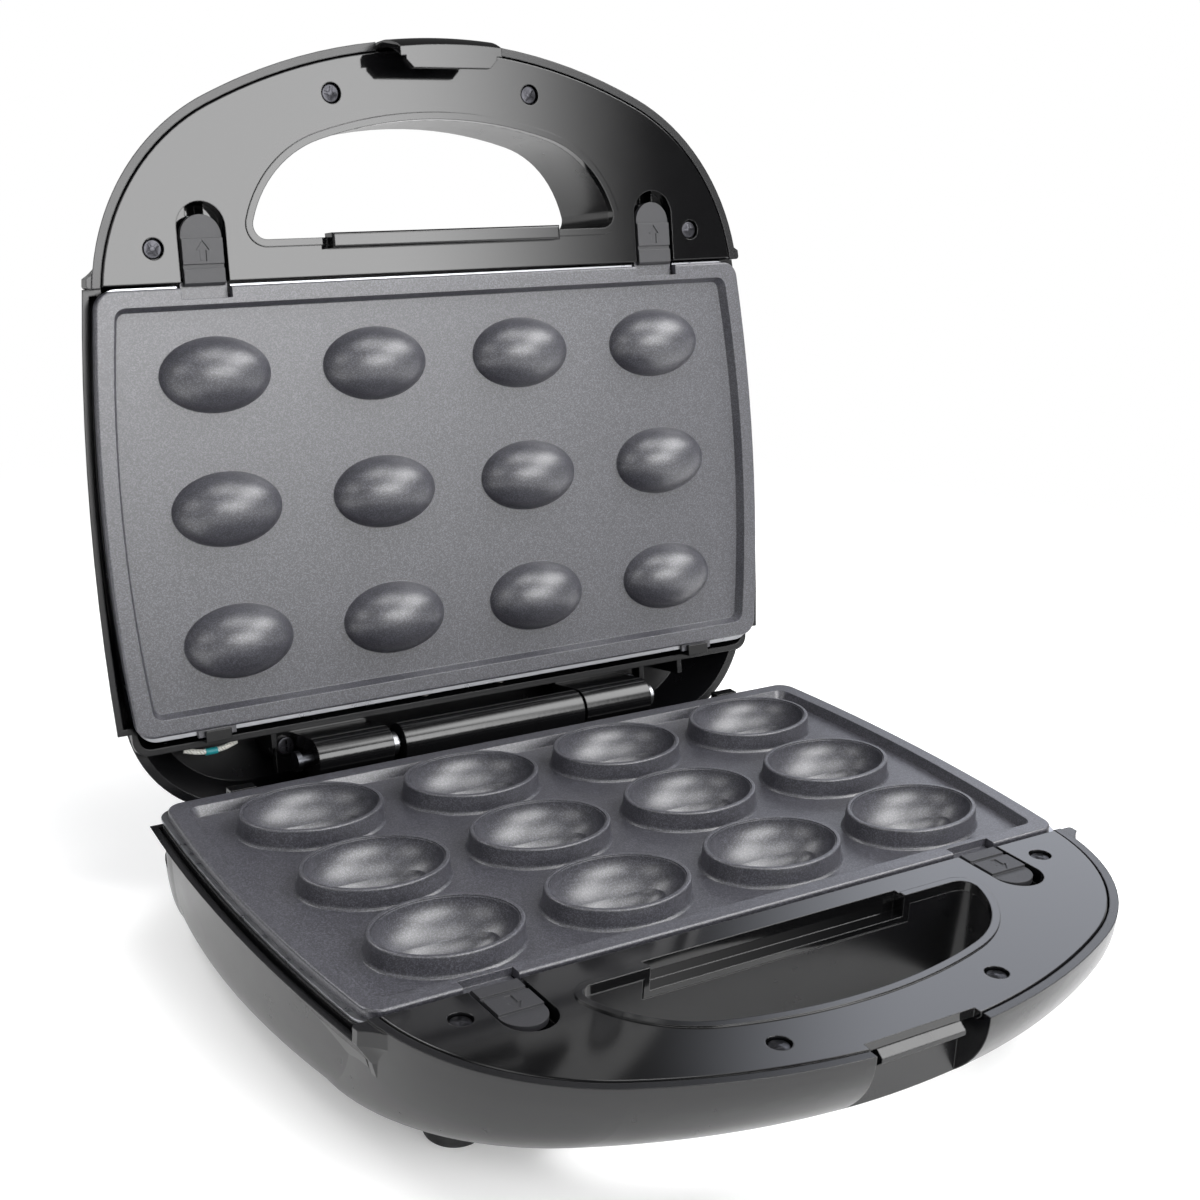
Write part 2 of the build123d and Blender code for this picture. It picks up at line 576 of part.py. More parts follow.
def tray(form):
    """Reflector tray: flat rim the plate rests on and a tapering pan."""
    depth, low = form["tray_depth"], tray_bottom(form)
    bulge = form["tray_bulge"]
    rim = rounded_panel(form["tray"], bulge, TRAY_FRONT, TRAY_REAR, TRAY_CORNER)

    def pan(grow, z_low):
        lean = PAN_HALF_WIDTH - form["tray_floor"]
        upper = rounded_panel(PAN_HALF_WIDTH + grow, bulge, PAN_FRONT + grow, PAN_REAR + grow,
                              PAN_CORNER + grow)
        lower = rounded_panel(PAN_HALF_WIDTH - lean + grow, bulge, PAN_FRONT - 1 + grow,
                              PAN_REAR - 1 + grow, PAN_CORNER + grow)
        return loft([Pos(0, 0, z_low) * lower, Pos(0, 0, SEAT + SHEET) * upper])

    body = slab(rim, SEAT, SEAT + SHEET) + pan(SHEET, low) - pan(0, low + SHEET)
    for side in (-1, 1):
        body -= block((side * TAB_X - 8.2, side * TAB_X + 8.2), (-REACH, -PLATE_FRONT + 3.0), (-4.7, 0))
        body -= Pos(side * HEATER_TAIL_X, PAN_REAR, HEATER_Z) * Rot(90, 0, 0) * Cylinder(5.2, 12)
    for x, y in TRAY_SCREWS:
        body -= post(x, y, SCREW_RADIUS + 0.15, low - 1, low + 2)
    return body


def heater(form):
    """Tubular heater running round under the plate, with both tails through the tray's rear."""
    side, radius = form["heater"], HEATER_BEND
    corners = [(-HEATER_TAIL_X, HEATER_TAIL_END), (-HEATER_TAIL_X, HEATER_REAR), (-side, HEATER_REAR),
               (-side, HEATER_FRONT), (side, HEATER_FRONT), (side, HEATER_REAR),
               (HEATER_TAIL_X, HEATER_REAR), (HEATER_TAIL_X, HEATER_TAIL_END)]
    path = FilletPolyline(*[(x, y, HEATER_Z) for x, y in corners], radius=radius)
    start = corners[0]
    tube = sweep(Plane((start[0], start[1], HEATER_Z), z_dir=(0, -1, 0)) * Circle(HEATER_RADIUS), path=path)
    for sign in (-1, 1):
        pin = Rot(90, 0, 0) * Cylinder(LEAD_RADIUS, 5)
        tube += Pos(sign * HEATER_TAIL_X, HEATER_TAIL_END, HEATER_Z) * pin
    return tube


def heater_clips(form):
    """Saddles that carry the heater's long runs on the tray's floor."""
    low = tray_bottom(form) + SHEET
    saddles = []
    for x, y in [(side * CUP_PITCH, y) for y in (HEATER_REAR, HEATER_FRONT) for side in (-1, 1)]:
        saddle = block((x - 3, x + 3), (y - 3.6, y + 2.8), (low, HEATER_Z - 0.5))
        saddles.append(saddle - rod_x(y, HEATER_Z, HEATER_RADIUS + PIN_CLEARANCE, x - 4, x + 4))
    return group(saddles)


def plate(cups):
    """Cooking plate with either raised cups or domes on its recessed field."""
    body = slab(rounded_panel(PLATE_HALF_WIDTH, PLATE_BULGE, PLATE_FRONT, PLATE_REAR, PLATE_CORNER),
                -PLATE_SEAT, -PLATE_TOP)
    body = fillet(body.faces().sort_by(Axis.Z)[-1].edges(), 0.7)
    step = PLATE_STEP
    body += slab(rounded_panel(PLATE_HALF_WIDTH - step, PLATE_BULGE, PLATE_FRONT - step,
                               PLATE_REAR - step, PLATE_CORNER - 1.5), -PLATE_UNDERSIDE, -PLATE_SEAT)
    rim = PLATE_RIM_WIDTH
    upper = rounded_panel(PLATE_HALF_WIDTH - rim, PLATE_BULGE, PLATE_FRONT - rim, PLATE_REAR - rim, 3.5)
    lower = rounded_panel(PLATE_HALF_WIDTH - rim - 1.4, PLATE_BULGE, PLATE_FRONT - rim - 1.4,
                          PLATE_REAR - rim - 1.4, 2.6)
    body -= loft([Pos(0, 0, -PLATE_FIELD) * lower, Pos(0, 0, -PLATE_TOP + 0.01) * upper], ruled=True)
    for side in (-1, 1):
        x = side * TAB_X
        body -= block((x - NOTCH_WIDTH / 2, x + NOTCH_WIDTH / 2), (-REACH, -PLATE_FRONT + NOTCH_DEPTH),
                      (-PLATE_SEAT, 1))
        body += block((x - LUG_WIDTH / 2, x + LUG_WIDTH / 2), (-LUG_REACH, -PLATE_FRONT + PLATE_STEP + 0.5),
                      (LUG_TOP - LUG_THICKNESS, LUG_TOP))
        x = side * REAR_LUG_X
        body += block((x - REAR_LUG_WIDTH / 2, x + REAR_LUG_WIDTH / 2), (PLATE_REAR - 1,
                      PLATE_REAR + REAR_LUG_LENGTH), (-PLATE_SEAT, -PLATE_SEAT + 1.0))
    if cups:
        return add_cups(body)
    dome = ellipsoid(DOME_LENGTH + 1.1, DOME_WIDTH + 0.7, DOME_HEIGHT + DOME_SINK)
    dome -= block((-40, 40), (-40, 40), (-40, -0.1))
    for x, y in CENTRES:
        body += Pos(x, y, -PLATE_FIELD - DOME_SINK) * dome
    return body


def add_cups(body):
    """Raise the oval cups: thin standing wall, rounded bowl and the lobes pressed into its sides."""
    levels = [(-PLATE_FIELD - 1, CUP_DRAFT + 1.9 * CUP_FOOT)]
    for turn in (30, 60, 90):
        rise, spread = 1 - cos(radians(turn)), 1 - sin(radians(turn))
        levels.append((-PLATE_FIELD + CUP_FOOT * rise, CUP_DRAFT + CUP_FOOT * spread))
    levels.append((CUP_RIM, 0))
    long, short = CUP_LENGTH / 2 + CUP_WALL, CUP_WIDTH / 2 + CUP_WALL
    rings = [Pos(0, 0, height) * Ellipse(long + grow, short + grow) for height, grow in levels]
    wall = loft(rings, ruled=True)
    wall = fillet(wall.faces().sort_by(Axis.Z)[-1].edges(), 0.4 * CUP_WALL)
    skin = Pos(0, 0, CUP_RIM) * ellipsoid(CUP_LENGTH + 5.0, CUP_WIDTH + 5.0, CUP_DEPTH + CUP_SKIN)
    skin = skin & block((-40, 40), (-40, 40), (-40, -PLATE_FIELD - 1))
    inner = Pos(0, 0, CUP_RIM) * ellipsoid(CUP_LENGTH, CUP_WIDTH, CUP_DEPTH)
    for side in (-1, 1):
        inner += Pos(0.5, side * LOBE_Y, CUP_RIM - LOBE_DROP) * ellipsoid(LOBE_LENGTH, 2 * LOBE_RADIUS,
                                                                        LOBE_RADIUS)
    inner &= block((-40, 40), (-40, 40), (-40, CUP_RIM + 1))
    for x, y in CENTRES:
        body += Pos(x, y, 0) * wall
        body += Pos(x, y, 0) * skin
    for x, y in CENTRES:
        body -= Pos(x, y, 0) * inner
    return body


def plate_hooks():
    """Steel clips on the rear wall that hold the plate's rear lugs down."""
    clips = []
    for side in (-1, 1):
        x = side * REAR_LUG_X
        leg = block((x - 4, x + 4), (REAR_WALL_Y - 1.0, REAR_WALL_Y), (-REAR_WALL_TOP - 6, -0.3))
        arm = block((x - 4, x + 4), (PLATE_REAR + 0.5, REAR_WALL_Y), (-1.3, -0.3))
        clips.append(leg + arm)
    return group(clips)


def screws(places, head_top):
    return group([screw(x, y, head_top) for x, y in places])


def bracket_plate(x_low, x_high, places):
    """Foot plate of a hinge bracket with its screw holes."""
    foot = block((x_low, x_high), (BRACKET_FRONT, BRACKET_REAR),
                 (-BRACKET_LEVEL - BRACKET_PLATE, -BRACKET_LEVEL))
    for x, y in places:
        foot -= post(x, y, SCREW_RADIUS + 0.15, -BRACKET_LEVEL - 10, 0)
    return foot


def bored_barrel(solid, x_low, x_high, z):
    """Add a hinge barrel and drill it for the pin."""
    solid += rod_x(HINGE_Y, z, KNUCKLE_RADIUS, x_low, x_high)
    return solid - rod_x(HINGE_Y, z, PIN_RADIUS + PIN_CLEARANCE, x_low - 1, x_high + 1)


def base_bracket():
    """Middle barrel on a hollow pedestal."""
    x_low, x_high = KNUCKLES[1]
    body = bracket_plate(x_low - EAR, x_high + EAR, bracket_screws(BASE))
    pedestal = block((x_low, x_high), (WEB_FRONT, HINGE_Y + 4.6), (-BRACKET_LEVEL, -HINGE_DROP))
    for index in range(3):
        width = (x_high - x_low - 4 * 2.0) / 3
        start = x_low + 2.0 + index * (width + 2.0)
        pedestal -= block((start, start + width), (WEB_FRONT + 2, HINGE_Y + 6), (-BRACKET_LEVEL - 1, -8.2))
    return bored_barrel(body + pedestal, x_low, x_high, -HINGE_DROP)


def lid_bracket(index):
    """Outer barrel of the lid with its web and foot plate; half frame, so the pin lies above z = 0."""
    x_low, x_high = KNUCKLES[index]
    outer = (x_low - EAR, x_high) if index == 0 else (x_low, x_high + EAR)
    places = [place for place in bracket_screws(LID) if outer[0] < place[0] < outer[1]]
    body = bracket_plate(outer[0], outer[1], places)
    body += block((x_low, x_high), (WEB_FRONT, WEB_FRONT + WEB_THICKNESS), (-BRACKET_LEVEL - 1, HINGE_DROP))
    for x in (x_low, x_high - 2.5):
        body += block((x, x + 2.5), (WEB_FRONT, HINGE_Y - 2.2), (-BRACKET_LEVEL - 1, HINGE_DROP))
    return bored_barrel(body, x_low, x_high, HINGE_DROP)


def thermostat(form, x, y):
    """Disc thermostat pressed to the plate's underside on a post from the tray."""
    low = tray_bottom(form) + SHEET
    body = post(x, y, THERMOSTAT_RADIUS, -PLATE_UNDERSIDE - THERMOSTAT_HEIGHT, -PLATE_UNDERSIDE)
    body += post(x, y, 3.0, low, -PLATE_UNDERSIDE - THERMOSTAT_HEIGHT)
    for side in (-1, 1):
        body += block((x + side * 4, x + side * 10.5), (y - 2, y + 2), (-PLATE_UNDERSIDE - 4.6,
                      -PLATE_UNDERSIDE - 3.8))
    return body


def wire(points, radius, bend=3.0):
    """Round lead along a filleted path."""
    path = FilletPolyline(*points, radius=bend)
    start = Vector(*points[0])
    return sweep(Plane(start, z_dir=Vector(*points[1]) - start) * Circle(radius), path=path)


# ---------------------------------------------------------------- base
def base_shell():
    body = shell(BASE)
    half = RIB_HALF_LENGTH + 3.7
    body -= block((-half, half), (-HOLE_REAR - 2.6, -HOLE_REAR + 4.0), (-GROOVE_DEPTH - 2.0, 0))
    low = -DECK_TOP - DECK_THICKNESS
    outer = RECESS_HALF + 2.5
    body += block((-outer, outer), (-REACH, -RECESS_BACK + 2.5), (-REACH, low)) & bowl(BASE, 0, 0)
    body -= block((-RECESS_HALF, RECESS_HALF), (-REACH, -RECESS_BACK), (-REACH, 1))
    body += profile_solid([(-RECESS_BACK - 0.1, low), (-NOTCH_BACK, low), (-LEDGE_TIP, low - 1.5),
                           (-LEDGE_TIP, low - 2.7), (-RECESS_BACK - 2.3, low - 6.8),
                           (-RECESS_BACK + 0.1, low - 6.8)], -LEDGE_HALF, LEDGE_HALF)
    # cord inlet boss on the rear wall and the leads' way into the case
    boss = Pos(GLAND_X, GLAND_FACE - 4.3, -GLAND_DEPTH) * Rot(90, 0, 0)
    body += boss * Cylinder(GLAND_FLANGE + 0.6, 8.6)
    body -= boss * Cylinder(GLAND_BODY + 0.05, 40)
    body -= block((GLAND_X - 6, GLAND_X + 6), (REAR_WALL_Y - 1, REAR_WALL_Y + 3),
                  (-GLAND_DEPTH - 4.5, -GLAND_DEPTH + 4.5))
    for x, y in foot_places():
        pad = post(x, y, FOOT_RADIUS + 1.5, -BASE["depth"] - FOOT_PAD, -18)
        body += pad - bowl(BASE, SHELL_WALL / 2, 1)
        body -= post(x, y, FOOT_STEM + 0.05, -BASE["depth"] - FOOT_PAD - 1, -BASE["depth"] + 1.9)
    return body


def foot_places():
    return [(side * FOOT_X, y) for y in (FOOT_FRONT, FOOT_REAR) for side in (-1, 1)]


def foot(x, y):
    """Rubber foot with a domed tread and a stem pressed into the shell."""
    seat = -BASE["depth"] - FOOT_PAD
    body = post(x, y, FOOT_RADIUS, seat - FOOT_HEIGHT, seat)
    body = fillet(body.edges().filter_by(GeomType.CIRCLE).sort_by(Axis.Z)[0], 2.4)
    return body + post(x, y, FOOT_STEM, seat, seat + 2.8)


def base_deck():
    body = base_groove(deck(BASE))
    return body - block((-RECESS_HALF + 0.4, RECESS_HALF - 0.4), (-REACH, -NOTCH_BACK), (-4, 1))


def gland():
    """Flanged cord inlet with a tapering nose."""
    def ring(radius, y_low, y_high):
        return Pos(GLAND_X, (y_low + y_high) / 2, -GLAND_DEPTH) * Rot(90, 0, 0) * Cylinder(radius,
                                                                                         y_high - y_low)
    nose = Pos(GLAND_X, GLAND_FACE + 3.6, -GLAND_DEPTH) * Rot(-90, 0, 0) * Cone(GLAND_BODY, 4.5, 4.4)
    body = ring(GLAND_BODY, GLAND_FACE - 10.6, GLAND_FACE) + nose
    body += ring(GLAND_FLANGE, GLAND_FACE, GLAND_FACE + 1.5)
    return body - ring(GLAND_BORE, GLAND_FACE - 20, GLAND_FACE + 20)


def terminal_block():
    floor = -BASE["depth"] + SHELL_WALL
    body = block((GLAND_X - TERMINAL_HALF, GLAND_X + TERMINAL_HALF), TERMINAL_Y, (floor, floor + 9))
    body = chamfer(body.faces().sort_by(Axis.Z)[-1].edges(), 0.6)
    for x in (GLAND_X - 8.5, GLAND_X, GLAND_X + 8.5):
        body -= post(x, sum(TERMINAL_Y) / 2, 2.2, floor + 5, floor + 10)
    return body


def base_leads():
    """Supply leads from the inlet and the two leads to the heater's tails."""
    floor = -BASE["depth"] + SHELL_WALL
    near, far = TERMINAL_Y[1], GLAND_FACE - 9.6
    leads = [Pos(x, (near + far) / 2, floor + rise) * Rot(90, 0, 0) * Cylinder(LEAD_RADIUS, far - near)
             for x, rise in ((GLAND_X - 1.5, 4.3), (GLAND_X + 1.5, 4.3), (GLAND_X, 7.0))]
    start, tail, end = GLAND_X + TERMINAL_HALF, REAR_WALL_Y - 1.9, HEATER_Z - LEAD_RADIUS - 0.05
    for x, y, rise in ((-HEATER_TAIL_X, near - 5, 3.0), (HEATER_TAIL_X, near - 9, 5.8)):
        leads.append(wire([(start, y, floor + rise), (x, y, floor + rise), (x, tail, floor + rise),
                           (x, tail, end)], LEAD_RADIUS))
    return group(leads)


def thermal_fuse():
    z = tray_bottom(BASE) - 2.0
    return rod_x(-45, z, 2.0, -8, 8) + rod_x(-45, z, 0.5, -18, 18)


def hinge_pin():
    pin = rod_x(HINGE_Y, -HINGE_DROP, PIN_RADIUS, KNUCKLES[0][0] - 4, KNUCKLES[2][1] + 4)
    head = rod_x(HINGE_Y, -HINGE_DROP, PIN_HEAD, KNUCKLES[0][0] - 5.6, KNUCKLES[0][0] - 4)
    return pin + head


def hinge_clips():
    """Retaining rings on the pin, in the left gap and outside the right barrel."""
    rings = []
    for x in (-33.4, KNUCKLES[2][1] + 1.0):
        ring = rod_x(HINGE_Y, -HINGE_DROP, 3.6, x, x + 1.8)
        rings.append(ring - rod_x(HINGE_Y, -HINGE_DROP, PIN_RADIUS, x - 1, x + 3))
    return group(rings)


# ---------------------------------------------------------------- lid, still in the half frame
def lid_shell():
    body = shell(LID)
    body -= block((-LATCH_OPENING, LATCH_OPENING), (-REACH, -FRONT + 9.2), (-LATCH_OPENING_TOP, 1))
    pivot_y, pivot_z = LATCH_PIVOT
    for side in (-1, 1):
        lug = block((side * LATCH_OPENING, side * (LATCH_OPENING + 4)), (-FRONT + 2.2, pivot_y + 3.2),
                    (-pivot_z - 3.2, -pivot_z + 3.2))
        body += lug & bowl(LID, 0.6, 0)
    body -= rod_x(pivot_y, -pivot_z, LATCH_PIN_RADIUS + PIN_CLEARANCE, -LATCH_OPENING - 3.9,
                  LATCH_OPENING + 3.9)
    for side in (-1, 1):
        body -= post(side * LAMP_X, LAMP_Y, LAMP_RADIUS + 0.05, -60, -20)
    return body


def lid_deck():
    rear = -HOLE_REAR + 1.2
    rib = block((-RIB_HALF_LENGTH, RIB_HALF_LENGTH), (rear - RIB_WIDTH, rear), (-DECK_TOP - 1, RIB_HEIGHT))
    rib = fillet(rib.faces().sort_by(Axis.Z)[-1].edges(), 0.8)
    return deck(LID) + rib


def latch():
    """Hinged clip whose face follows both shells, with a hooked tip that catches under the base's ledge."""
    span = (-LATCH_WIDTH / 2, LATCH_WIDTH / 2)
    depth = (-REACH, -HOLE_FRONT)
    upper = (bowl(LID, 0, 0) - bowl(LID, LATCH_WALL, 1)) & block(span, depth, (-LATCH_OPENING_TOP + 0.6, 0))
    lower = (bowl(BASE, 0, 0) - bowl(BASE, LATCH_WALL, 1)) & block(span, depth, (-LATCH_TIP, 0))
    body = upper + mirror(lower, about=Plane.XY)
    bar = block((-15.6, 15.6), (-FRONT + 4.2, -RECESS_BACK - 0.8), (LATCH_TIP - 2.5, LATCH_TIP))
    bar = chamfer(bar.edges().filter_by(Axis.Z).group_by(Axis.Y)[-1], 2.4)
    body += bar
    pivot_y, pivot_z = LATCH_PIVOT
    for side in (-1, 1):
        near, far = side * 9.0, side * 14.5
        body += rod_x(pivot_y, -pivot_z, 2.3, min(near, far), max(near, far))
        body += block((near, far), (pivot_y - 2.2, pivot_y), (-pivot_z - 2.3, -pivot_z + 2.3))
    return body - rod_x(pivot_y, -pivot_z, LATCH_PIN_RADIUS + PIN_CLEARANCE, -20, 20)


def latch_pin():
    pivot_y, pivot_z = LATCH_PIVOT
    return rod_x(pivot_y, -pivot_z, LATCH_PIN_RADIUS, -LATCH_OPENING - 3.8, LATCH_OPENING + 3.8)


def lamp(side):
    roof = -LID["depth"]
    lens = post(side * LAMP_X, LAMP_Y, LAMP_RADIUS + 1, roof - 1.2, roof)
    lens = fillet(lens.edges().filter_by(GeomType.CIRCLE).sort_by(Axis.Z)[0], 0.8)
    return lens + post(side * LAMP_X, LAMP_Y, LAMP_RADIUS, roof, roof + 6)


def lid_lead():
    """Sleeved lead that loops through the trough behind the lid's rear wall."""
    back, side = REAR_WALL_Y + REAR_WALL, -PLATE_HALF_WIDTH
    return wire([(side + 17.4, back, -13.0), (side + 17.4, back + 2.6, -13.0),
                 (side + 34.4, back + 2.6, -13.0), (side + 34.4, back, -13.0)], 1.1, 1.6)


# ---------------------------------------------------------------- the whole appliance
def base_nodes():
    nodes = {
        "base_shell": base_shell(),
        "base_deck": base_deck(),
        "base_deck_screws": screws(deck_screw_places(), -DECK_TOP - HEAD_RECESS),
        "base_plate": plate(cups=True),
        "base_tray": tray(BASE),
        "base_tray_screws": screws(TRAY_SCREWS, tray_bottom(BASE) + SHEET + SCREW_HEAD),
        "base_heater": heater(BASE),
        "base_heater_clips": heater_clips(BASE),
        "base_thermostat": thermostat(BASE, 0, BETWEEN_ROWS),
        "base_plate_hooks": plate_hooks(),
        "base_hinge_bracket": base_bracket(),
        "base_bracket_screws": screws(bracket_screws(BASE), -BRACKET_LEVEL + SCREW_HEAD),
        "hinge_pin": hinge_pin(),
        "hinge_clips": hinge_clips(),
        "cord_gland": gland(),
        "terminal_block": terminal_block(),
        "base_leads": base_leads(),
        "thermal_fuse": thermal_fuse(),
    }
    for name, side in (("left", -1), ("right", 1)):
        nodes["base_tab_" + name] = release_tab(side)
        nodes["base_tab_spring_" + name] = tab_spring(side)
    for name, (x, y) in zip(("front_left", "front_right", "rear_left", "rear_right"), foot_places()):
        nodes["foot_" + name] = foot(x, y)
    return nodes


def lid_nodes():
    """Lid parts, turned over so that they lie as on the closed appliance."""
    nodes = {
        "lid_shell": lid_shell(),
        "lid_deck": lid_deck(),
        "lid_deck_screws": screws(deck_screw_places(), -DECK_TOP - HEAD_RECESS),
        "lid_plate": plate(cups=False),
        "lid_tray": tray(LID),
        "lid_tray_screws": screws(TRAY_SCREWS, tray_bottom(LID) + SHEET + SCREW_HEAD),
        "lid_heater": heater(LID),
        "lid_heater_clips": heater_clips(LID),
        "lid_thermostat": thermostat(LID, 0, BETWEEN_ROWS),
        "lid_plate_hooks": plate_hooks(),
        "lid_hinge_left": lid_bracket(0),
        "lid_hinge_right": lid_bracket(2),
        "lid_bracket_screws": screws(bracket_screws(LID), -BRACKET_LEVEL + SCREW_HEAD),
        "lid_lead": lid_lead(),
        "lamp_red": lamp(-1),
        "lamp_green": lamp(1),
        "lid_latch": latch(),
        "lid_latch_pin": latch_pin(),
    }
    for name, side in (("left", -1), ("right", 1)):
        nodes["lid_tab_" + name] = release_tab(side)
    nodes = {name: mirror(shape, about=Plane.XY) for name, shape in nodes.items()}
    for name, side in (("left", -1), ("right", 1)):
        nodes["lid_tab_spring_" + name] = Rot(0, 180, 0) * tab_spring(-side)
    return nodes


def opened(shape):
    """Lift a closed lid's shape about the hinge pin to the open stop."""
    lifted = Pos(0, HINGE_Y, -HINGE_DROP) * Rot(-OPEN_ANGLE, 0, 0) * Pos(0, -HINGE_Y, HINGE_DROP)
    return lifted * shape


def save_all():
    nodes = base_nodes()
    for name, shape in lid_nodes().items():
        nodes[name] = opened(shape)
    boxes = [shape.bounding_box() for shape in nodes.values()]
    middle_y = (min(box.min.Y for box in boxes) + max(box.max.Y for box in boxes)) / 2
    table = min(box.min.Z for box in boxes)
    os.makedirs("parts", exist_ok=True)
    for name, shape in nodes.items():
        export_step(Pos(0, -middle_y, -table) * shape, "parts/" + name + ".step")
    print("parts", len(nodes), "shift", round(-middle_y, 4), round(-table, 4))


save_all()
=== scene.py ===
"""Countertop biscuit maker with its lid open: finishes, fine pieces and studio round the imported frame.

Lengths are metres unless a name ends in _mm or a class says otherwise. +Z is up and the base's handle
points to -Y.
"""
import logging
import math
from dataclasses import dataclass, field
from enum import Enum
from typing import Any

import bpy
from mathutils import Matrix, Vector


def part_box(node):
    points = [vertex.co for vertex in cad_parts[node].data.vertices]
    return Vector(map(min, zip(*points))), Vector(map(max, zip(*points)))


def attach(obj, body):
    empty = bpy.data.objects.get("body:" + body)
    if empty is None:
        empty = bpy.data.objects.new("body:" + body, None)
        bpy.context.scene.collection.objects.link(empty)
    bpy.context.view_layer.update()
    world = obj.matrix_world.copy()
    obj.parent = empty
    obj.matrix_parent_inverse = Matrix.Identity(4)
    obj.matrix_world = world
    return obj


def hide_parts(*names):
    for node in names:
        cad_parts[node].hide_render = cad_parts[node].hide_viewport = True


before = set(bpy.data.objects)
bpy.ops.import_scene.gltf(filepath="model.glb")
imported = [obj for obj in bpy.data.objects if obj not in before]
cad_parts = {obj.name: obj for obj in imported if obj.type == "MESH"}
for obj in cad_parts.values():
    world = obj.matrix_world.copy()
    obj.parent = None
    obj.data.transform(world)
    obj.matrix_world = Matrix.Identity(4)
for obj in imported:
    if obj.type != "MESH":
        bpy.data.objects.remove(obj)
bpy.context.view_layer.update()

LOG = logging.getLogger("biscuit_maker")
MM = 0.001
OPEN_ANGLE = 101.8         # degrees the lid stands open at rest
WAVES_PER_UNIT = 3.2       # crests that a Wave texture draws along one unit at scale 1
MESH = bpy.ops.mesh
OBJECT = bpy.ops.object

Vec3 = tuple[float, float, float]


# ------------------------------------------------------------------ shader helpers
def linear(code: str) -> tuple[float, float, float, float]:
    """Turn an sRGB hex colour into linear light.

    Args:
        code: Colour written as "#rrggbb".

    Returns:
        Red, green, blue and alpha for a shader socket.
    """
    parts = [int(code[start:start + 2], 16) / 255 for start in (1, 3, 5)]
    red, green, blue = (p / 12.92 if p <= 0.04045 else ((p + 0.055) / 1.055) ** 2.4 for p in parts)
    return red, green, blue, 1.0


def add_node(tree: bpy.types.NodeTree, kind: str, settings: dict[Any, Any] | None = None,
             links: dict[Any, bpy.types.NodeSocket] | None = None) -> bpy.types.Node:
    """Add one node with its settings and links.

    Args:
        tree: Node tree that takes it.
        kind: Blender's name of the node type.
        settings: Values by input name, input number or property name.
        links: Output sockets that feed its inputs, by input name or number.

    Returns:
        The new node.
    """
    made = tree.nodes.new(kind)
    for key, value in (settings or {}).items():
        if isinstance(key, int) or key in made.inputs:
            made.inputs[key].default_value = value
        else:
            setattr(made, key, value)
    for key, socket in (links or {}).items():
        tree.links.new(socket, made.inputs[key])
    return made


def per_metre(size_mm: float) -> float:
    """Texture scale that repeats a feature of the given size in millimetres."""
    return 1 / (size_mm * MM)


# ------------------------------------------------------------------ finishes
@dataclass(frozen=True)
class Finish:
    """What every finish has: its name, the record's slot (not used here) and the values of its surface.

    The roughness wanders by spread below and above its value, and relief_mm is how deep the pattern is.
    """

    name: str
    slot: str
    colour: str
    roughness: float = 0.4
    metallic: float = 0.0
    ior: float = 1.5
    edge_mm: float = 0.0
    spread: tuple[float, float] = (0.0, 0.0)
    relief_mm: float = 0.01

    def material(self) -> bpy.types.Material:
        """Make the finish's material, or find it where it is made already.

        Returns:
            The material.
        """
        found = bpy.data.materials.get(self.name)
        if found is not None:
            return found
        made = bpy.data.materials.new(self.name)
        made.use_nodes = True
        tree = made.node_tree
        shader = tree.nodes["Principled BSDF"]
        shader.inputs["Base Color"].default_value = linear(self.colour)
        shader.inputs["Roughness"].default_value = self.roughness
        shader.inputs["Metallic"].default_value = self.metallic
        if self.metallic < 1:
            shader.inputs["IOR"].default_value = self.ior
        place = add_node(tree, "ShaderNodeTexCoord").outputs["Object"]
        self.dress(tree, shader, place)
        return made

    def dress(self, tree: bpy.types.NodeTree, shader: bpy.types.Node,
              place: bpy.types.NodeSocket) -> None:
        """Add the pattern of this kind of surface.

        Args:
            tree: The material's node tree.
            shader: Its Principled BSDF.
            place: Object coordinates in metres.
        """

    def relief(self, tree: bpy.types.NodeTree, shader: bpy.types.Node,
               height: bpy.types.NodeSocket) -> None:
        """Feed a height to the surface as relief, over edges that are broken by edge_mm.

        Args:
            tree: The material's node tree.
            shader: Its Principled BSDF.
            height: Pattern between 0 and 1.
        """
        links = {"Height": height}
        if self.edge_mm:
            edge = add_node(tree, "ShaderNodeBevel", {"samples": 4, "Radius": self.edge_mm * MM})
            links["Normal"] = edge.outputs["Normal"]
        bump = add_node(tree, "ShaderNodeBump", {"Strength": 1.0, "Distance": self.relief_mm * MM}, links)
        tree.links.new(bump.outputs["Normal"], shader.inputs["Normal"])

    def vary(self, tree: bpy.types.NodeTree, shader: bpy.types.Node,
             pattern: bpy.types.NodeSocket) -> None:
        """Let the roughness wander over its spread with a pattern.

        Args:
            tree: The material's node tree.
            shader: Its Principled BSDF.
            pattern: Value between 0 and 1.
        """
        low, high = self.roughness - self.spread[0], self.roughness + self.spread[1]
        sheen = add_node(tree, "ShaderNodeMapRange", {"To Min": low, "To Max": high}, {"Value": pattern})
        tree.links.new(sheen.outputs["Result"], shader.inputs["Roughness"])

    @staticmethod
    def tint(tree: bpy.types.NodeTree, shader: bpy.types.Node, pattern: bpy.types.NodeSocket,
             *ends: tuple[float, str]) -> None:
        """Colour the surface by a pattern, from one colour to another.

        Args:
            tree: The material's node tree.
            shader: Its Principled BSDF.
            pattern: Value between 0 and 1.
            ends: Value of the pattern and hex colour at both ends of the change, lower value first.
        """
        ramp = add_node(tree, "ShaderNodeValToRGB", None, {"Fac": pattern})
        for element, (position, colour) in zip(ramp.color_ramp.elements, ends):
            element.position = position
            element.color = linear(colour)
        tree.links.new(ramp.outputs["Color"], shader.inputs["Base Color"])


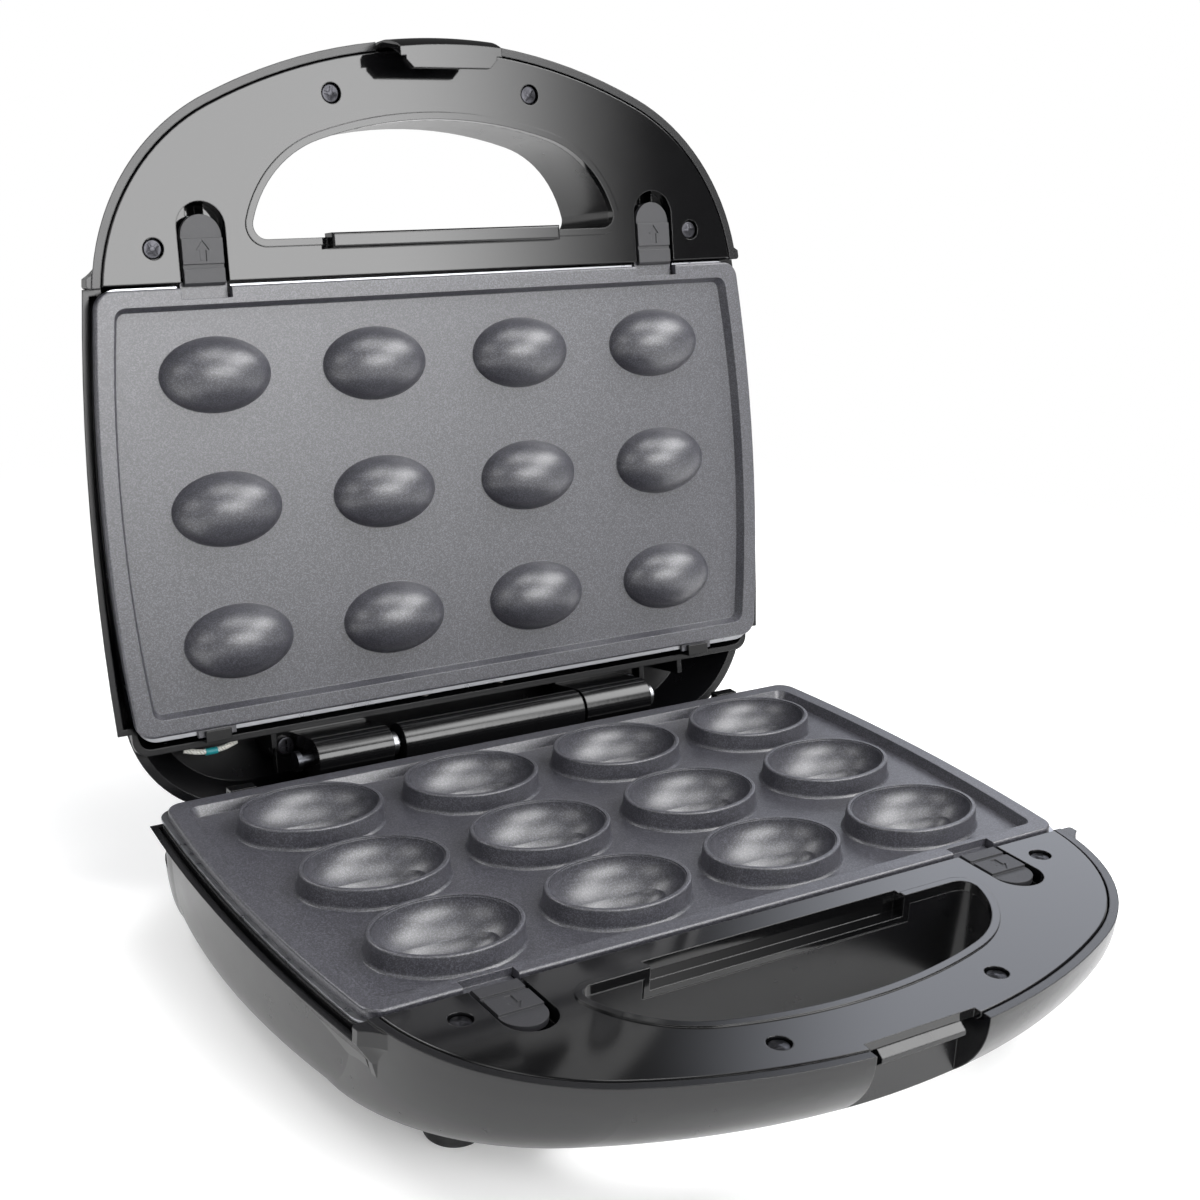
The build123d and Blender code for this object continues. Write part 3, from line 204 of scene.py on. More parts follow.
@dataclass(frozen=True)
class PolishedMoulding(Finish):
    """ABS from a polished mould: sharp reflections, slow waves left by cooling and faint smears."""

    spread: tuple[float, float] = (0.02, 0.02)
    relief_mm: float = 0.012
    wave_mm: float = 26.0
    smear_mm: float = 9.0

    def dress(self, tree: bpy.types.NodeTree, shader: bpy.types.Node,
              place: bpy.types.NodeSocket) -> None:
        """Add the waves and the smears.

        Args:
            tree: The material's node tree.
            shader: Its Principled BSDF.
            place: Object coordinates in metres.
        """
        waves = add_node(tree, "ShaderNodeTexNoise", {"Scale": per_metre(self.wave_mm), "Detail": 1.5},
                         {"Vector": place})
        smears = add_node(tree, "ShaderNodeTexNoise", {"Scale": per_metre(self.smear_mm), "Detail": 5.0},
                          {"Vector": place})
        self.vary(tree, shader, smears.outputs["Fac"])
        self.relief(tree, shader, waves.outputs["Fac"])


@dataclass(frozen=True)
class GrainedMoulding(Finish):
    """Plastic from a spark-eroded mould, or a pressed ceramic: an even fine grain scatters the light."""

    spread: tuple[float, float] = (0.12, 0.12)
    relief_mm: float = 0.035
    grain_mm: float = 0.55          # the real grain of about 0.1 mm would be too fine to show

    def dress(self, tree: bpy.types.NodeTree, shader: bpy.types.Node,
              place: bpy.types.NodeSocket) -> None:
        """Add the grain.

        Args:
            tree: The material's node tree.
            shader: Its Principled BSDF.
            place: Object coordinates in metres.
        """
        grain = add_node(tree, "ShaderNodeTexNoise", {"Scale": per_metre(self.grain_mm), "Detail": 3.0,
                                                      "Roughness": 0.6}, {"Vector": place})
        self.vary(tree, shader, grain.outputs["Fac"])
        self.relief(tree, shader, grain.outputs["Fac"])


@dataclass(frozen=True)
class NonStickCoating(Finish):
    """Sprayed PTFE with mica flakes on cast aluminium: satin, softly pebbled, with tiny bright specks."""

    spread: tuple[float, float] = (0.08, 0.08)
    relief_mm: float = 0.014
    fleck: str = "#515159"
    fleck_mm: float = 0.28          # real flakes are under 0.1 mm, too fine to show
    plain: float = 0.4              # share of the flakes that keep the coating's colour
    pebble_mm: float = 0.6

    def dress(self, tree: bpy.types.NodeTree, shader: bpy.types.Node,
              place: bpy.types.NodeSocket) -> None:
        """Add the flakes, the pebbled spray and the change of sheen.

        Args:
            tree: The material's node tree.
            shader: Its Principled BSDF.
            place: Object coordinates in metres.
        """
        flakes = add_node(tree, "ShaderNodeTexVoronoi", {"Scale": per_metre(self.fleck_mm)},
                          {"Vector": place})
        chance = add_node(tree, "ShaderNodeSeparateColor", None, {"Color": flakes.outputs["Color"]})
        self.tint(tree, shader, chance.outputs["Red"], (self.plain, self.colour), (1.0, self.fleck))
        pebbles = add_node(tree, "ShaderNodeTexNoise", {"Scale": per_metre(self.pebble_mm),
                                                        "Detail": 3.0}, {"Vector": place})
        self.vary(tree, shader, pebbles.outputs["Fac"])
        self.relief(tree, shader, pebbles.outputs["Fac"])


@dataclass(frozen=True)
class RolledSheet(Finish):
    """Aluminised steel sheet: fine rolling lines along X and cloudy spangle."""

    spread: tuple[float, float] = (0.06, 0.08)
    relief_mm: float = 0.006
    line_mm: float = 0.3            # real lines are under 0.1 mm apart, too fine to show
    length_mm: float = 22.0
    spangle_mm: float = 4.0

    def dress(self, tree: bpy.types.NodeTree, shader: bpy.types.Node,
              place: bpy.types.NodeSocket) -> None:
        """Add the rolling lines and the spangle.

        Args:
            tree: The material's node tree.
            shader: Its Principled BSDF.
            place: Object coordinates in metres.
        """
        stretch = add_node(tree, "ShaderNodeMapping",
                           {"Scale": (per_metre(self.length_mm), per_metre(self.line_mm),
                                      per_metre(self.line_mm))}, {"Vector": place})
        lines = add_node(tree, "ShaderNodeTexNoise", {"Scale": 1.0, "Detail": 3.0},
                         {"Vector": stretch.outputs["Vector"]})
        spangle = add_node(tree, "ShaderNodeTexVoronoi", {"Scale": per_metre(self.spangle_mm)},
                           {"Vector": place})
        self.vary(tree, shader, spangle.outputs["Distance"])
        self.relief(tree, shader, lines.outputs["Fac"])


@dataclass(frozen=True)
class TurnedSteel(Finish):
    """Drawn or machined steel: tight surface with faint tool marks and handling stains."""

    spread: tuple[float, float] = (0.07, 0.1)
    relief_mm: float = 0.008
    mark_mm: float = 0.4
    stain: str = "#4a4844"
    stain_mm: float = 6.0

    def dress(self, tree: bpy.types.NodeTree, shader: bpy.types.Node,
              place: bpy.types.NodeSocket) -> None:
        """Add the tool marks and stains.

        Args:
            tree: The material's node tree.
            shader: Its Principled BSDF.
            place: Object coordinates in metres.
        """
        marks = add_node(tree, "ShaderNodeTexNoise", {"Scale": per_metre(self.mark_mm), "Detail": 4.0},
                         {"Vector": place})
        stains = add_node(tree, "ShaderNodeTexNoise", {"Scale": per_metre(self.stain_mm), "Detail": 3.0},
                          {"Vector": place})
        self.tint(tree, shader, stains.outputs["Fac"], (0.35, self.colour), (0.75, self.stain))
        self.vary(tree, shader, marks.outputs["Fac"])
        self.relief(tree, shader, marks.outputs["Fac"])


@dataclass(frozen=True)
class Enamel(Finish):
    """Stove enamel on steel: thick gloss with the orange peel of a sprayed coat."""

    spread: tuple[float, float] = (0.04, 0.05)
    relief_mm: float = 0.012
    peel_mm: float = 1.6

    def dress(self, tree: bpy.types.NodeTree, shader: bpy.types.Node,
              place: bpy.types.NodeSocket) -> None:
        """Add the orange peel.

        Args:
            tree: The material's node tree.
            shader: Its Principled BSDF.
            place: Object coordinates in metres.
        """
        peel = add_node(tree, "ShaderNodeTexNoise", {"Scale": per_metre(self.peel_mm), "Detail": 1.0},
                        {"Vector": place})
        self.vary(tree, shader, peel.outputs["Fac"])
        self.relief(tree, shader, peel.outputs["Fac"])


@dataclass(frozen=True)
class Elastomer(Finish):
    """Moulded rubber: dull, with a talc bloom that greys it in patches."""

    relief_mm: float = 0.02
    bloom: str = "#3a3a3b"
    bloom_mm: float = 5.0
    skin_mm: float = 0.5

    def dress(self, tree: bpy.types.NodeTree, shader: bpy.types.Node,
              place: bpy.types.NodeSocket) -> None:
        """Add the bloom and the fine skin.

        Args:
            tree: The material's node tree.
            shader: Its Principled BSDF.
            place: Object coordinates in metres.
        """
        bloom = add_node(tree, "ShaderNodeTexNoise", {"Scale": per_metre(self.bloom_mm), "Detail": 5.0},
                         {"Vector": place})
        skin = add_node(tree, "ShaderNodeTexNoise", {"Scale": per_metre(self.skin_mm), "Detail": 2.0},
                        {"Vector": place})
        self.tint(tree, shader, bloom.outputs["Fac"], (0.4, self.colour), (0.8, self.bloom))
        self.relief(tree, shader, skin.outputs["Fac"])


@dataclass(frozen=True)
class BraidedSleeve(Finish):
    """Glass-fibre sleeve: two families of crossing yarns with shadows between them."""

    relief_mm: float = 0.08
    yarn_mm: float = 0.7
    yarn_turns: tuple[float, float] = (45.0, -45.0)
    shadow: str = "#a9a99f"

    def dress(self, tree: bpy.types.NodeTree, shader: bpy.types.Node,
              place: bpy.types.NodeSocket) -> None:
        """Cross two bands of yarn.

        Args:
            tree: The material's node tree.
            shader: Its Principled BSDF.
            place: Object coordinates in metres.
        """
        heights = []
        for turn in self.yarn_turns:
            tilt = add_node(tree, "ShaderNodeMapping", {"Rotation": (math.radians(turn), 0.0,
                                                                     math.radians(turn))},
                            {"Vector": place})
            band = add_node(tree, "ShaderNodeTexWave", {"Scale": per_metre(self.yarn_mm) / WAVES_PER_UNIT},
                            {"Vector": tilt.outputs["Vector"]})
            heights.append(band.outputs["Fac"])
        crossed = add_node(tree, "ShaderNodeMath", {"operation": "MAXIMUM"},
                           {0: heights[0], 1: heights[1]})
        self.tint(tree, shader, crossed.outputs["Value"], (0.0, self.shadow), (0.7, self.colour))
        self.relief(tree, shader, crossed.outputs["Value"])


@dataclass(frozen=True)
class LampLens(Finish):
    """Tinted polycarbonate lens with light-spreading ribs inside."""

    relief_mm: float = 0.03
    clear: float = 0.35
    milk: float = 0.2
    rib_mm: float = 1.0

    def dress(self, tree: bpy.types.NodeTree, shader: bpy.types.Node,
              place: bpy.types.NodeSocket) -> None:
        """Let light into the lens and add the ribs.

        Args:
            tree: The material's node tree.
            shader: Its Principled BSDF.
            place: Object coordinates in metres.
        """
        shader.inputs["Transmission Weight"].default_value = self.clear
        shader.inputs["Subsurface Weight"].default_value = self.milk
        ribs = add_node(tree, "ShaderNodeTexWave", {"Scale": per_metre(self.rib_mm) / WAVES_PER_UNIT},
                        {"Vector": place})
        self.relief(tree, shader, ribs.outputs["Fac"])


# the shells are handled outside, so their reflections have soft edges
SHELL_ABS = PolishedMoulding("ABS, polished moulding, black", "black_shell", "#0c0c0e", 0.26, edge_mm=0.45,
                             spread=(0.04, 0.04))
# the decks and the latch mirror the room almost sharply
DECK_ABS = PolishedMoulding("ABS, mirror moulding, black", "black_deck", "#0a0a0b", 0.07, ior=1.56,
                            edge_mm=0.4, relief_mm=0.007)
LATCH_ABS = PolishedMoulding("ABS, gloss latch, black", "latch_plastic", "#0a0a0b", 0.06, ior=1.56,
                             edge_mm=0.4)
# the tabs are dull and a shade paler, so they stand out from the deck
TAB_ABS = GrainedMoulding("ABS, spark-eroded grain, charcoal", "tab_plastic", "#2c2c2f", 0.46, edge_mm=0.3)
# the coating has a broad satin sheen with paler mica flakes in it
PTFE = NonStickCoating("PTFE with mica on cast aluminium", "non_stick", "#2d2d32", 0.38, ior=1.75,
                       edge_mm=0.35)
# the trays show as a bright streaky line round the plates
SHEET = RolledSheet("Aluminised steel sheet", "pressed_steel", "#a4a5a9", 0.3, metallic=1.0, edge_mm=0.2)
# bare metals: a scaled brown tube, bright wire, dark pins and nearly black screws
HEATER_STEEL = TurnedSteel("Oxidised heater tube", "heater_tube", "#6b6763", 0.42, metallic=1.0)
SPRING_STEEL = TurnedSteel("Spring steel wire", "spring_steel", "#a6a7aa", 0.28, metallic=1.0,
                           stain="#8d8e92")
PIN_STEEL = TurnedSteel("Blued steel pin", "pin_steel", "#4c4d51", 0.3, metallic=1.0, stain="#2f3033")
SCREW_STEEL = TurnedSteel("Dark nickel on steel screws", "screw_steel", "#48484c", 0.32, metallic=1.0,
                          stain="#2c2c2f", edge_mm=0.12)
# the hinge's brackets and the plates' hooks are glossy black with long highlights
BLACK_ENAMEL = Enamel("Black enamel on pressed steel", "black_enamel", "#0c0c0d", 0.13, edge_mm=0.4)
# the feet and the inlet are matt, with a grey bloom
RUBBER = Elastomer("Moulded rubber, black", "black_rubber", "#161617", 0.72)
# the electric pieces are pale against the black: sleeve, band, block and thermostat
SLEEVE = BraidedSleeve("Glass-fibre sleeve, white", "white_silicone", "#e4e3dc", 0.7)
MARKER = GrainedMoulding("Printed marker band, teal", "white_silicone", "#1f8f97", 0.45)
NYLON = GrainedMoulding("Nylon terminal block, ivory", "terminal_plastic", "#d8d3c2", 0.5)
PHENOLIC = GrainedMoulding("Steatite and phenolic thermostat", "thermostat_body", "#b09a7f", 0.35,
                           grain_mm=1.2)
# the lamps' lenses glow a little where light gets in
RED_LENS = LampLens("Polycarbonate lens, red", "red_lens", "#c01812", 0.12, ior=1.58)
GREEN_LENS = LampLens("Polycarbonate lens, green", "green_lens", "#12993a", 0.12, ior=1.58)


# ------------------------------------------------------------------ piece helpers
def only(*objects: bpy.types.Object) -> None:
    """Select these objects alone and make the first one active.

    Args:
        objects: The objects to select.
    """
    OBJECT.select_all(action="DESELECT")
    for item in objects:
        item.select_set(True)
    bpy.context.view_layer.objects.active = objects[0]


def settle(item: bpy.types.Object, name: str, finish: Finish, body: str,
           crease: float = 35.0) -> bpy.types.Object:
    """Finish a modelled piece: place in its mesh, smooth shading, material and body.

    Args:
        item: The modelled object.
        name: Name it keeps.
        finish: Its finish.
        body: CAD body it rides on.
        crease: Angle in degrees above which an edge stays sharp.

    Returns:
        The same object.
    """
    item.name = name
    item.data.name = name
    only(item)
    OBJECT.transform_apply(location=True, rotation=True, scale=True)
    OBJECT.shade_smooth_by_angle(angle=math.radians(crease))
    item.data.materials.clear()
    item.data.materials.append(finish.material())
    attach(item, body)
    LOG.info("piece %s: %d faces", name, len(item.data.polygons))
    return item


def apply_modifier(item: bpy.types.Object, kind: str, **settings: Any) -> None:
    """Add one modifier and apply it.

    Args:
        item: Object that takes it.
        kind: Blender's name of the modifier type.
        settings: Values of its properties.
    """
    only(item)
    modifier = item.modifiers.new(kind.lower(), kind)
    for key, value in settings.items():
        setattr(modifier, key, value)
    OBJECT.modifier_apply(modifier=modifier.name)


def block(place_mm: Vec3, span_mm: Vec3) -> bpy.types.Object:
    """Add a box.

    Args:
        place_mm: Its centre in millimetres.
        span_mm: Its full size in millimetres.

    Returns:
        The box.
    """
    OBJECT.select_all(action="DESELECT")
    MESH.primitive_cube_add(size=1, location=Vector(place_mm) * MM)
    made = bpy.context.object
    made.scale = Vector(span_mm) * MM
    OBJECT.transform_apply(location=False, rotation=False, scale=True)
    return made


def copy_of(item: bpy.types.Object) -> bpy.types.Object:
    """Copy an object together with its mesh.

    Args:
        item: The object to copy.

    Returns:
        The copy.
    """
    only(item)
    OBJECT.duplicate(linked=False)
    return bpy.context.object


def discard(*objects: bpy.types.Object) -> None:
    """Remove models and cutters that have done their work."""
    for item in objects:
        bpy.data.objects.remove(item, do_unlink=True)


def stand_on(item: bpy.types.Object, place: Vector, axis: Vector, turn: float = 0.0) -> None:
    """Move a piece modelled at the origin to a place, with its +Z along an axis."""
    spin = Matrix.Rotation(turn, 4, "Z")
    item.matrix_world = Matrix.Translation(place) @ axis.to_track_quat("Z", "Y").to_matrix().to_4x4() @ spin


def tops(node: str, axis: Vector, gap: float = 4 * MM) -> list[Vector]:
    """Find the top middles of like solids in one node that stand apart along X.

    Args:
        node: The node's name.
        axis: Unit vector the solids' heads face, square to X.
        gap: Least distance between two solids along X.

    Returns:
        One place per solid, from -X to +X.
    """
    points = sorted((Vector(vertex.co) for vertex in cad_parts[node].data.vertices),
                    key=lambda point: point.x)
    groups = [[points[0]]]
    for before, point in zip(points, points[1:]):
        if point.x - before.x > gap:
            groups.append([])
        groups[-1].append(point)
    across = Vector((1, 0, 0)).cross(axis)
    places = []
    for group in groups:
        spans = [[point.dot(along) for point in group] for along in (Vector((1, 0, 0)), across, axis)]
        level = max(spans[2])
        middle = [(min(span) + max(span)) / 2 for span in spans[:2]]
        places.append(Vector((1, 0, 0)) * middle[0] + across * middle[1] + axis * level)
    return places


def dress(node: str, finish: Finish) -> bpy.types.Object:
    """Give a CAD node, which stays as it is, its finish.

    Args:
        node: The node's name.
        finish: The finish of its real part.

    Returns:
        The node's object.
    """
    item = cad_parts[node]
    for place in item.material_slots:
        place.material = finish.material()
    return item


# ------------------------------------------------------------------ fasteners and leads
class Drive(Enum):
    """Recess in a screw's head, by the number of its wings."""

    SLOT = 2
    CROSS = 4


@dataclass(frozen=True)
class PanScrew:
    """Self-tapping pan-head screw with its head's top at the origin.

    Lengths are in millimetres and angles in degrees. The recess narrows to wing_foot of its length and
    width at its bottom, and core is the radius at the bottom and top and the height of its middle cone.
    """

    finish: Finish = SCREW_STEEL
    head_radius: float = 2.9
    head_height: float = 1.8
    crown: float = 0.5
    edge: float = 0.11
    edge_angle: float = 50.0
    shank_radius: float = 1.1
    shank_overlap: float = 0.2
    thread_radius: float = 1.42
    pitch: float = 1.1
    length: float = 11.6
    plain_length: float = 2.5
    tip: float = 0.8
    wing: float = 2.05
    wing_width: float = 1.05
    wing_foot: tuple[float, float] = (0.55, 0.7)
    wing_proud: float = 0.02
    recess: float = 1.35
    core: Vec3 = (0.25, 0.85, 1.7)
    core_middle: float = 0.8
    crease: float = 40.0
    drive: Drive = Drive.CROSS

    def model(self) -> bpy.types.Object:
        """Model the screw once.

        Returns:
            The screw, pointing down from the origin.
        """
        OBJECT.select_all(action="DESELECT")
        MESH.primitive_cylinder_add(vertices=48, radius=self.head_radius * MM, depth=self.head_height * MM,
                                    location=(0, 0, -self.head_height / 2 * MM))
        head = bpy.context.object
        OBJECT.transform_apply(location=True, rotation=False, scale=False)
        for face in head.data.polygons:
            face.select = face.normal.z > 0.9
        OBJECT.mode_set(mode="EDIT")
        MESH.select_mode(type="FACE")
        MESH.bevel(offset=self.crown * MM, segments=6, profile=0.5, affect="EDGES")
        OBJECT.mode_set(mode="OBJECT")
        cutter = self.cutter()
        apply_modifier(head, "BOOLEAN", operation="DIFFERENCE", solver="EXACT", object=cutter)
        discard(cutter)
        apply_modifier(head, "BEVEL", width=self.edge * MM, segments=2, limit_method="ANGLE",
                       angle_limit=math.radians(self.edge_angle))
        OBJECT.select_all(action="DESELECT")
        middle = self.head_height + self.length / 2 - self.shank_overlap
        MESH.primitive_cylinder_add(vertices=24, radius=self.shank_radius * MM, depth=self.length * MM,
                                    location=(0, 0, -middle * MM))
        shank = bpy.context.object
        only(head, shank, self.thread())
        OBJECT.join()
        return head

    def cutter(self) -> bpy.types.Object:
        """Model the recess as a solid: tapering wings round a conical middle.

        Returns:
            The solid, to be cut out of the head.
        """
        wings = []
        for index in range(self.drive.value // 2):
            blade = block((0, 0, -self.recess / 2), (2 * self.wing, self.wing_width, self.recess))
            for vertex in blade.data.vertices:
                if vertex.co.z < 0:
                    vertex.co.x *= self.wing_foot[0]
                    vertex.co.y *= self.wing_foot[1]
            blade.location.z += self.wing_proud * MM
            blade.rotation_euler.z = math.radians(45 + 90 * index)
            wings.append(blade)
        bottom, top, height = self.core
        OBJECT.select_all(action="DESELECT")
        MESH.primitive_cone_add(vertices=24, radius1=bottom * MM, radius2=top * MM, depth=height * MM,
                                location=(0, 0, -self.core_middle * MM))
        core = bpy.context.object
        for blade in wings:
            apply_modifier(core, "BOOLEAN", operation="UNION", solver="EXACT", object=blade)
        discard(*wings)
        return core

    def thread(self) -> bpy.types.Object:
        """Wind the thread's ridge round the shank.

        Returns:
            The ridge.
        """
        turns = math.floor((self.length - self.plain_length) / self.pitch)
        depth = self.thread_radius - self.shank_radius
        OBJECT.select_all(action="DESELECT")
        MESH.primitive_circle_add(vertices=3, radius=depth * MM, fill_type="NOTHING",
                                  rotation=(math.radians(90), 0, 0))
        ridge = bpy.context.object
        ridge.location = (self.shank_radius * MM, 0, -(self.head_height + self.length - self.tip) * MM)
        OBJECT.transform_apply(location=True, rotation=True, scale=True)
        apply_modifier(ridge, "SCREW", axis="Z", screw_offset=self.pitch * MM, iterations=turns, steps=20,
                       render_steps=20, use_merge_vertices=True, merge_threshold=0.001 * MM)
        return ridge

    def fit(self, node: str, axis: Vector, body: str, turns: tuple[float, ...]) -> list[bpy.types.Object]:
        """Put one screw at each place of a node, which they replace.

        Args:
            node: CAD node with the screws' plain solids.
            axis: Direction the heads face.
            body: Body they ride on.
            turns: How far each screw was driven, in degrees.

        Returns:
            The screws.
        """
        model = self.model()
        made = []
        for number, (place, turn) in enumerate(zip(tops(node, axis), turns), 1):
            screw = copy_of(model)
            stand_on(screw, place, axis, math.radians(turn))
            settle(screw, f"{node}_{number}", self.finish, body, self.crease)
            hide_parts(node)
            made.append(screw)
        discard(model)
        return made


@dataclass(frozen=True)
class SleevedLead:
    """Insulated lead that bows out between two places, with a marker band round its middle.

    A lower fullness makes the bow rounder near its ends, and the band covers a share of the way.
    """

    start: Vec3
    end: Vec3
    rise: Vec3
    radius_mm: float = 0.85
    fullness: float = 0.8
    band: tuple[float, float] = (0.38, 0.6)
    band_wall_mm: float = 0.25
    steps: int = 6

    def spline(self, ends: tuple[float, float], radius: float) -> bpy.types.Object:
        """Draw part of the lead as a NURBS curve and make it a mesh.

        Args:
            ends: Share of the way at which the part starts and ends.
            radius: Radius in metres.

        Returns:
            The part.
        """
        begin, finish, rise = Vector(self.start), Vector(self.end), Vector(self.rise)
        shares = [ends[0] + (ends[1] - ends[0]) * step / self.steps for step in range(self.steps + 1)]
        points = [begin.lerp(finish, share) + rise * math.sin(math.pi * share) ** self.fullness
                  for share in shares]
        curve = bpy.data.curves.new("lead", "CURVE")
        curve.dimensions = "3D"
        curve.bevel_depth = radius
        curve.bevel_resolution = 5
        curve.resolution_u = 10
        curve.use_fill_caps = True
        line = curve.splines.new("NURBS")
        line.points.add(len(points) - 1)
        for point, place in zip(line.points, points):
            point.co = (*place, 1.0)
        line.order_u = 3
        line.use_endpoint_u = True
        item = bpy.data.objects.new("lead", curve)
        bpy.context.scene.collection.objects.link(item)
        only(item)
        OBJECT.convert(target="MESH")
        return bpy.context.object

    def build(self, node: str, body: str) -> list[bpy.types.Object]:
        """Lay the lead and its band.

        Args:
            node: CAD node that they replace.
            body: Body they ride on.

        Returns:
            The lead and the band.
        """
        lead = self.spline((0.0, 1.0), self.radius_mm * MM)
        settle(lead, f"{node}_sleeve", SLEEVE, body)
        band = self.spline(self.band, (self.radius_mm + self.band_wall_mm) * MM)
        settle(band, f"{node}_band", MARKER, body)
        for piece in (lead, band):
            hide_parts(node)
        return [lead, band]


# ------------------------------------------------------------------ sub-assemblies
@dataclass
class Half:
    """One moulded half: shell, deck, plate, tray, heater and their fasteners.

    The face is the direction that the deck looks in, and turns are the screws' angles in degrees.
    """

    name: str
    face: Vec3
    turns: tuple[float, ...]
    screw: PanScrew = PanScrew()

    def build(self) -> list[bpy.types.Object]:
        """Dress all pieces of the half and drive the deck's screws.

        Returns:
            The pieces.
        """
        finishes = {
            "shell": SHELL_ABS, "deck": DECK_ABS, "plate": PTFE, "tray": SHEET, "heater": HEATER_STEEL,
            "heater_clips": SPRING_STEEL, "thermostat": PHENOLIC, "plate_hooks": BLACK_ENAMEL,
            "tray_screws": self.screw.finish, "bracket_screws": self.screw.finish,
        }
        made = [dress(f"{self.name}_{part}", finish) for part, finish in finishes.items()]
        return made + self.screw.fit(f"{self.name}_deck_screws", Vector(self.face), self.name, self.turns)


@dataclass
class Pockets:
    """Coated insides of the base plate's pockets: oval bowls with a nut's seam along their bottom.

    Lengths are in millimetres. The bowl and the seam are ellipsoids by their radii, the seam's middle lies
    seam_drop below the rim, and the margin runs from the plate's front edge to the first row.
    """

    bowl: Vec3 = (19.75, 14.15, 10.9)
    seam: Vec3 = (15.6, 8.8, 6.9)
    seam_drop: float = 5.4
    lip: float = 0.35
    cut: Vec3 = (60.0, 60.0, 40.0)
    thickness: float = 0.3
    crease: float = 11.0
    margin: float = 27.2
    pitch: tuple[float, float] = (52.0, 39.7)
    count: tuple[int, int] = (4, 3)

    def ball(self, radii: Vec3, drop: float) -> bpy.types.Object:
        """Add an ellipsoid.

        Args:
            radii: Its radii.
            drop: How far its middle lies below the rim.

        Returns:
            The ellipsoid.
        """
        OBJECT.select_all(action="DESELECT")
        MESH.primitive_uv_sphere_add(segments=96, ring_count=48, radius=MM, location=(0, 0, -drop * MM))
        made = bpy.context.object
        made.scale = radii
        OBJECT.transform_apply(location=True, rotation=False, scale=True)
        return made

    def model(self) -> bpy.types.Object:
        """Model one pocket's skin with its rim at the origin.

        Returns:
            The skin.
        """
        skin = self.ball(self.bowl, 0.0)
        cutters = (("UNION", self.ball(self.seam, self.seam_drop)),
                   ("DIFFERENCE", block((0, 0, self.cut[2] / 2 - self.lip), self.cut)))
        for operation, cutter in cutters:
            apply_modifier(skin, "BOOLEAN", operation=operation, solver="EXACT", object=cutter)
            discard(cutter)
        for face in skin.data.polygons:
            face.select = face.normal.z > 0.99
        only(skin)
        OBJECT.mode_set(mode="EDIT")
        MESH.select_mode(type="FACE")
        MESH.delete(type="FACE")
        OBJECT.mode_set(mode="OBJECT")
        apply_modifier(skin, "SOLIDIFY", thickness=self.thickness * MM, offset=1.0)
        return skin

    def build(self) -> list[bpy.types.Object]:
        """Lay one skin in each pocket.

        Returns:
            The skins.
        """
        low, high = (Vector(corner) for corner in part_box("base_plate"))
        columns, rows = self.count
        first = Vector(((low.x + high.x) / 2 - (columns - 1) / 2 * self.pitch[0] * MM,
                        low.y + self.margin * MM, high.z))
        model = self.model()
        made = []
        for row in range(rows):
            for column in range(columns):
                skin = copy_of(model)
                skin.location = first + Vector((column * self.pitch[0], row * self.pitch[1], 0)) * MM
                made.append(settle(skin, f"pocket_{'abc'[row]}{column + 1}", PTFE, "base", self.crease))
        discard(model)
        return made


@dataclass
class ReleaseTabs:
    """The four sliding tabs and their springs."""

    sides: tuple[str, str] = ("left", "right")

    def build(self) -> list[bpy.types.Object]:
        """Dress the tabs and springs.

        Returns:
            The tabs and springs.
        """
        made = []
        for half in ("base", "lid"):
            for side in self.sides:
                made.append(dress(f"{half}_tab_{side}", TAB_ABS))
                made.append(dress(f"{half}_tab_spring_{side}", SPRING_STEEL))
        return made


@dataclass
class Hinge:
    """Barrels, pin and rings behind the plates."""

    def build(self) -> list[bpy.types.Object]:
        """Dress the hinge.

        Returns:
            Its pieces.
        """
        return [
            dress("base_hinge_bracket", BLACK_ENAMEL),
            dress("lid_hinge_left", BLACK_ENAMEL),
            dress("lid_hinge_right", BLACK_ENAMEL),
            dress("hinge_pin", PIN_STEEL),
            dress("hinge_clips", SPRING_STEEL),
        ]


@dataclass
class Latch:
    """Swinging latch at the lid's handle and its pin."""

    def build(self) -> list[bpy.types.Object]:
        """Dress the latch.

        Returns:
            The latch and its pin.
        """
        return [
            dress("lid_latch", LATCH_ABS),
            dress("lid_latch_pin", PIN_STEEL),
        ]


@dataclass
class Electrics:
    """Leads, terminal block, fuse, lamps and the cord's inlet.

    The lid's lead starts lead_inset_mm inside its node's box, and bows forward and down by shares of it.
    """

    lead_inset_mm: float = 1.2
    lead_bow: tuple[float, float] = (0.5, 0.3)

    def build(self) -> list[bpy.types.Object]:
        """Dress the electric parts and lay the lid's lead.

        Returns:
            The pieces.
        """
        finishes = {"base_leads": SLEEVE, "terminal_block": NYLON, "thermal_fuse": SLEEVE,
                    "cord_gland": RUBBER, "lamp_red": RED_LENS, "lamp_green": GREEN_LENS}
        made = [dress(node, finish) for node, finish in finishes.items()]
        return made + self.lid_loop()

    def lid_loop(self) -> list[bpy.types.Object]:
        """Loop the lid's lead through the trough behind the plate.

        Returns:
            The lead and its band.
        """
        low, high = (Vector(corner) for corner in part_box("lid_lead"))
        middle = (low + high) / 2
        inset = self.lead_inset_mm * MM
        rise = (0.0, (low.y - high.y) * self.lead_bow[0], (low.z - high.z) * self.lead_bow[1])
        lead = SleevedLead((low.x + inset, *middle.yz), (high.x - inset, *middle.yz), rise)
        return lead.build("lid_lead", "lid")


@dataclass
class Feet:
    """Four rubber feet."""

    places: tuple[str, ...] = ("front_left", "front_right", "rear_left", "rear_right")

    def build(self) -> list[bpy.types.Object]:
        """Dress the feet."""
        return [dress(f"foot_{place}", RUBBER) for place in self.places]


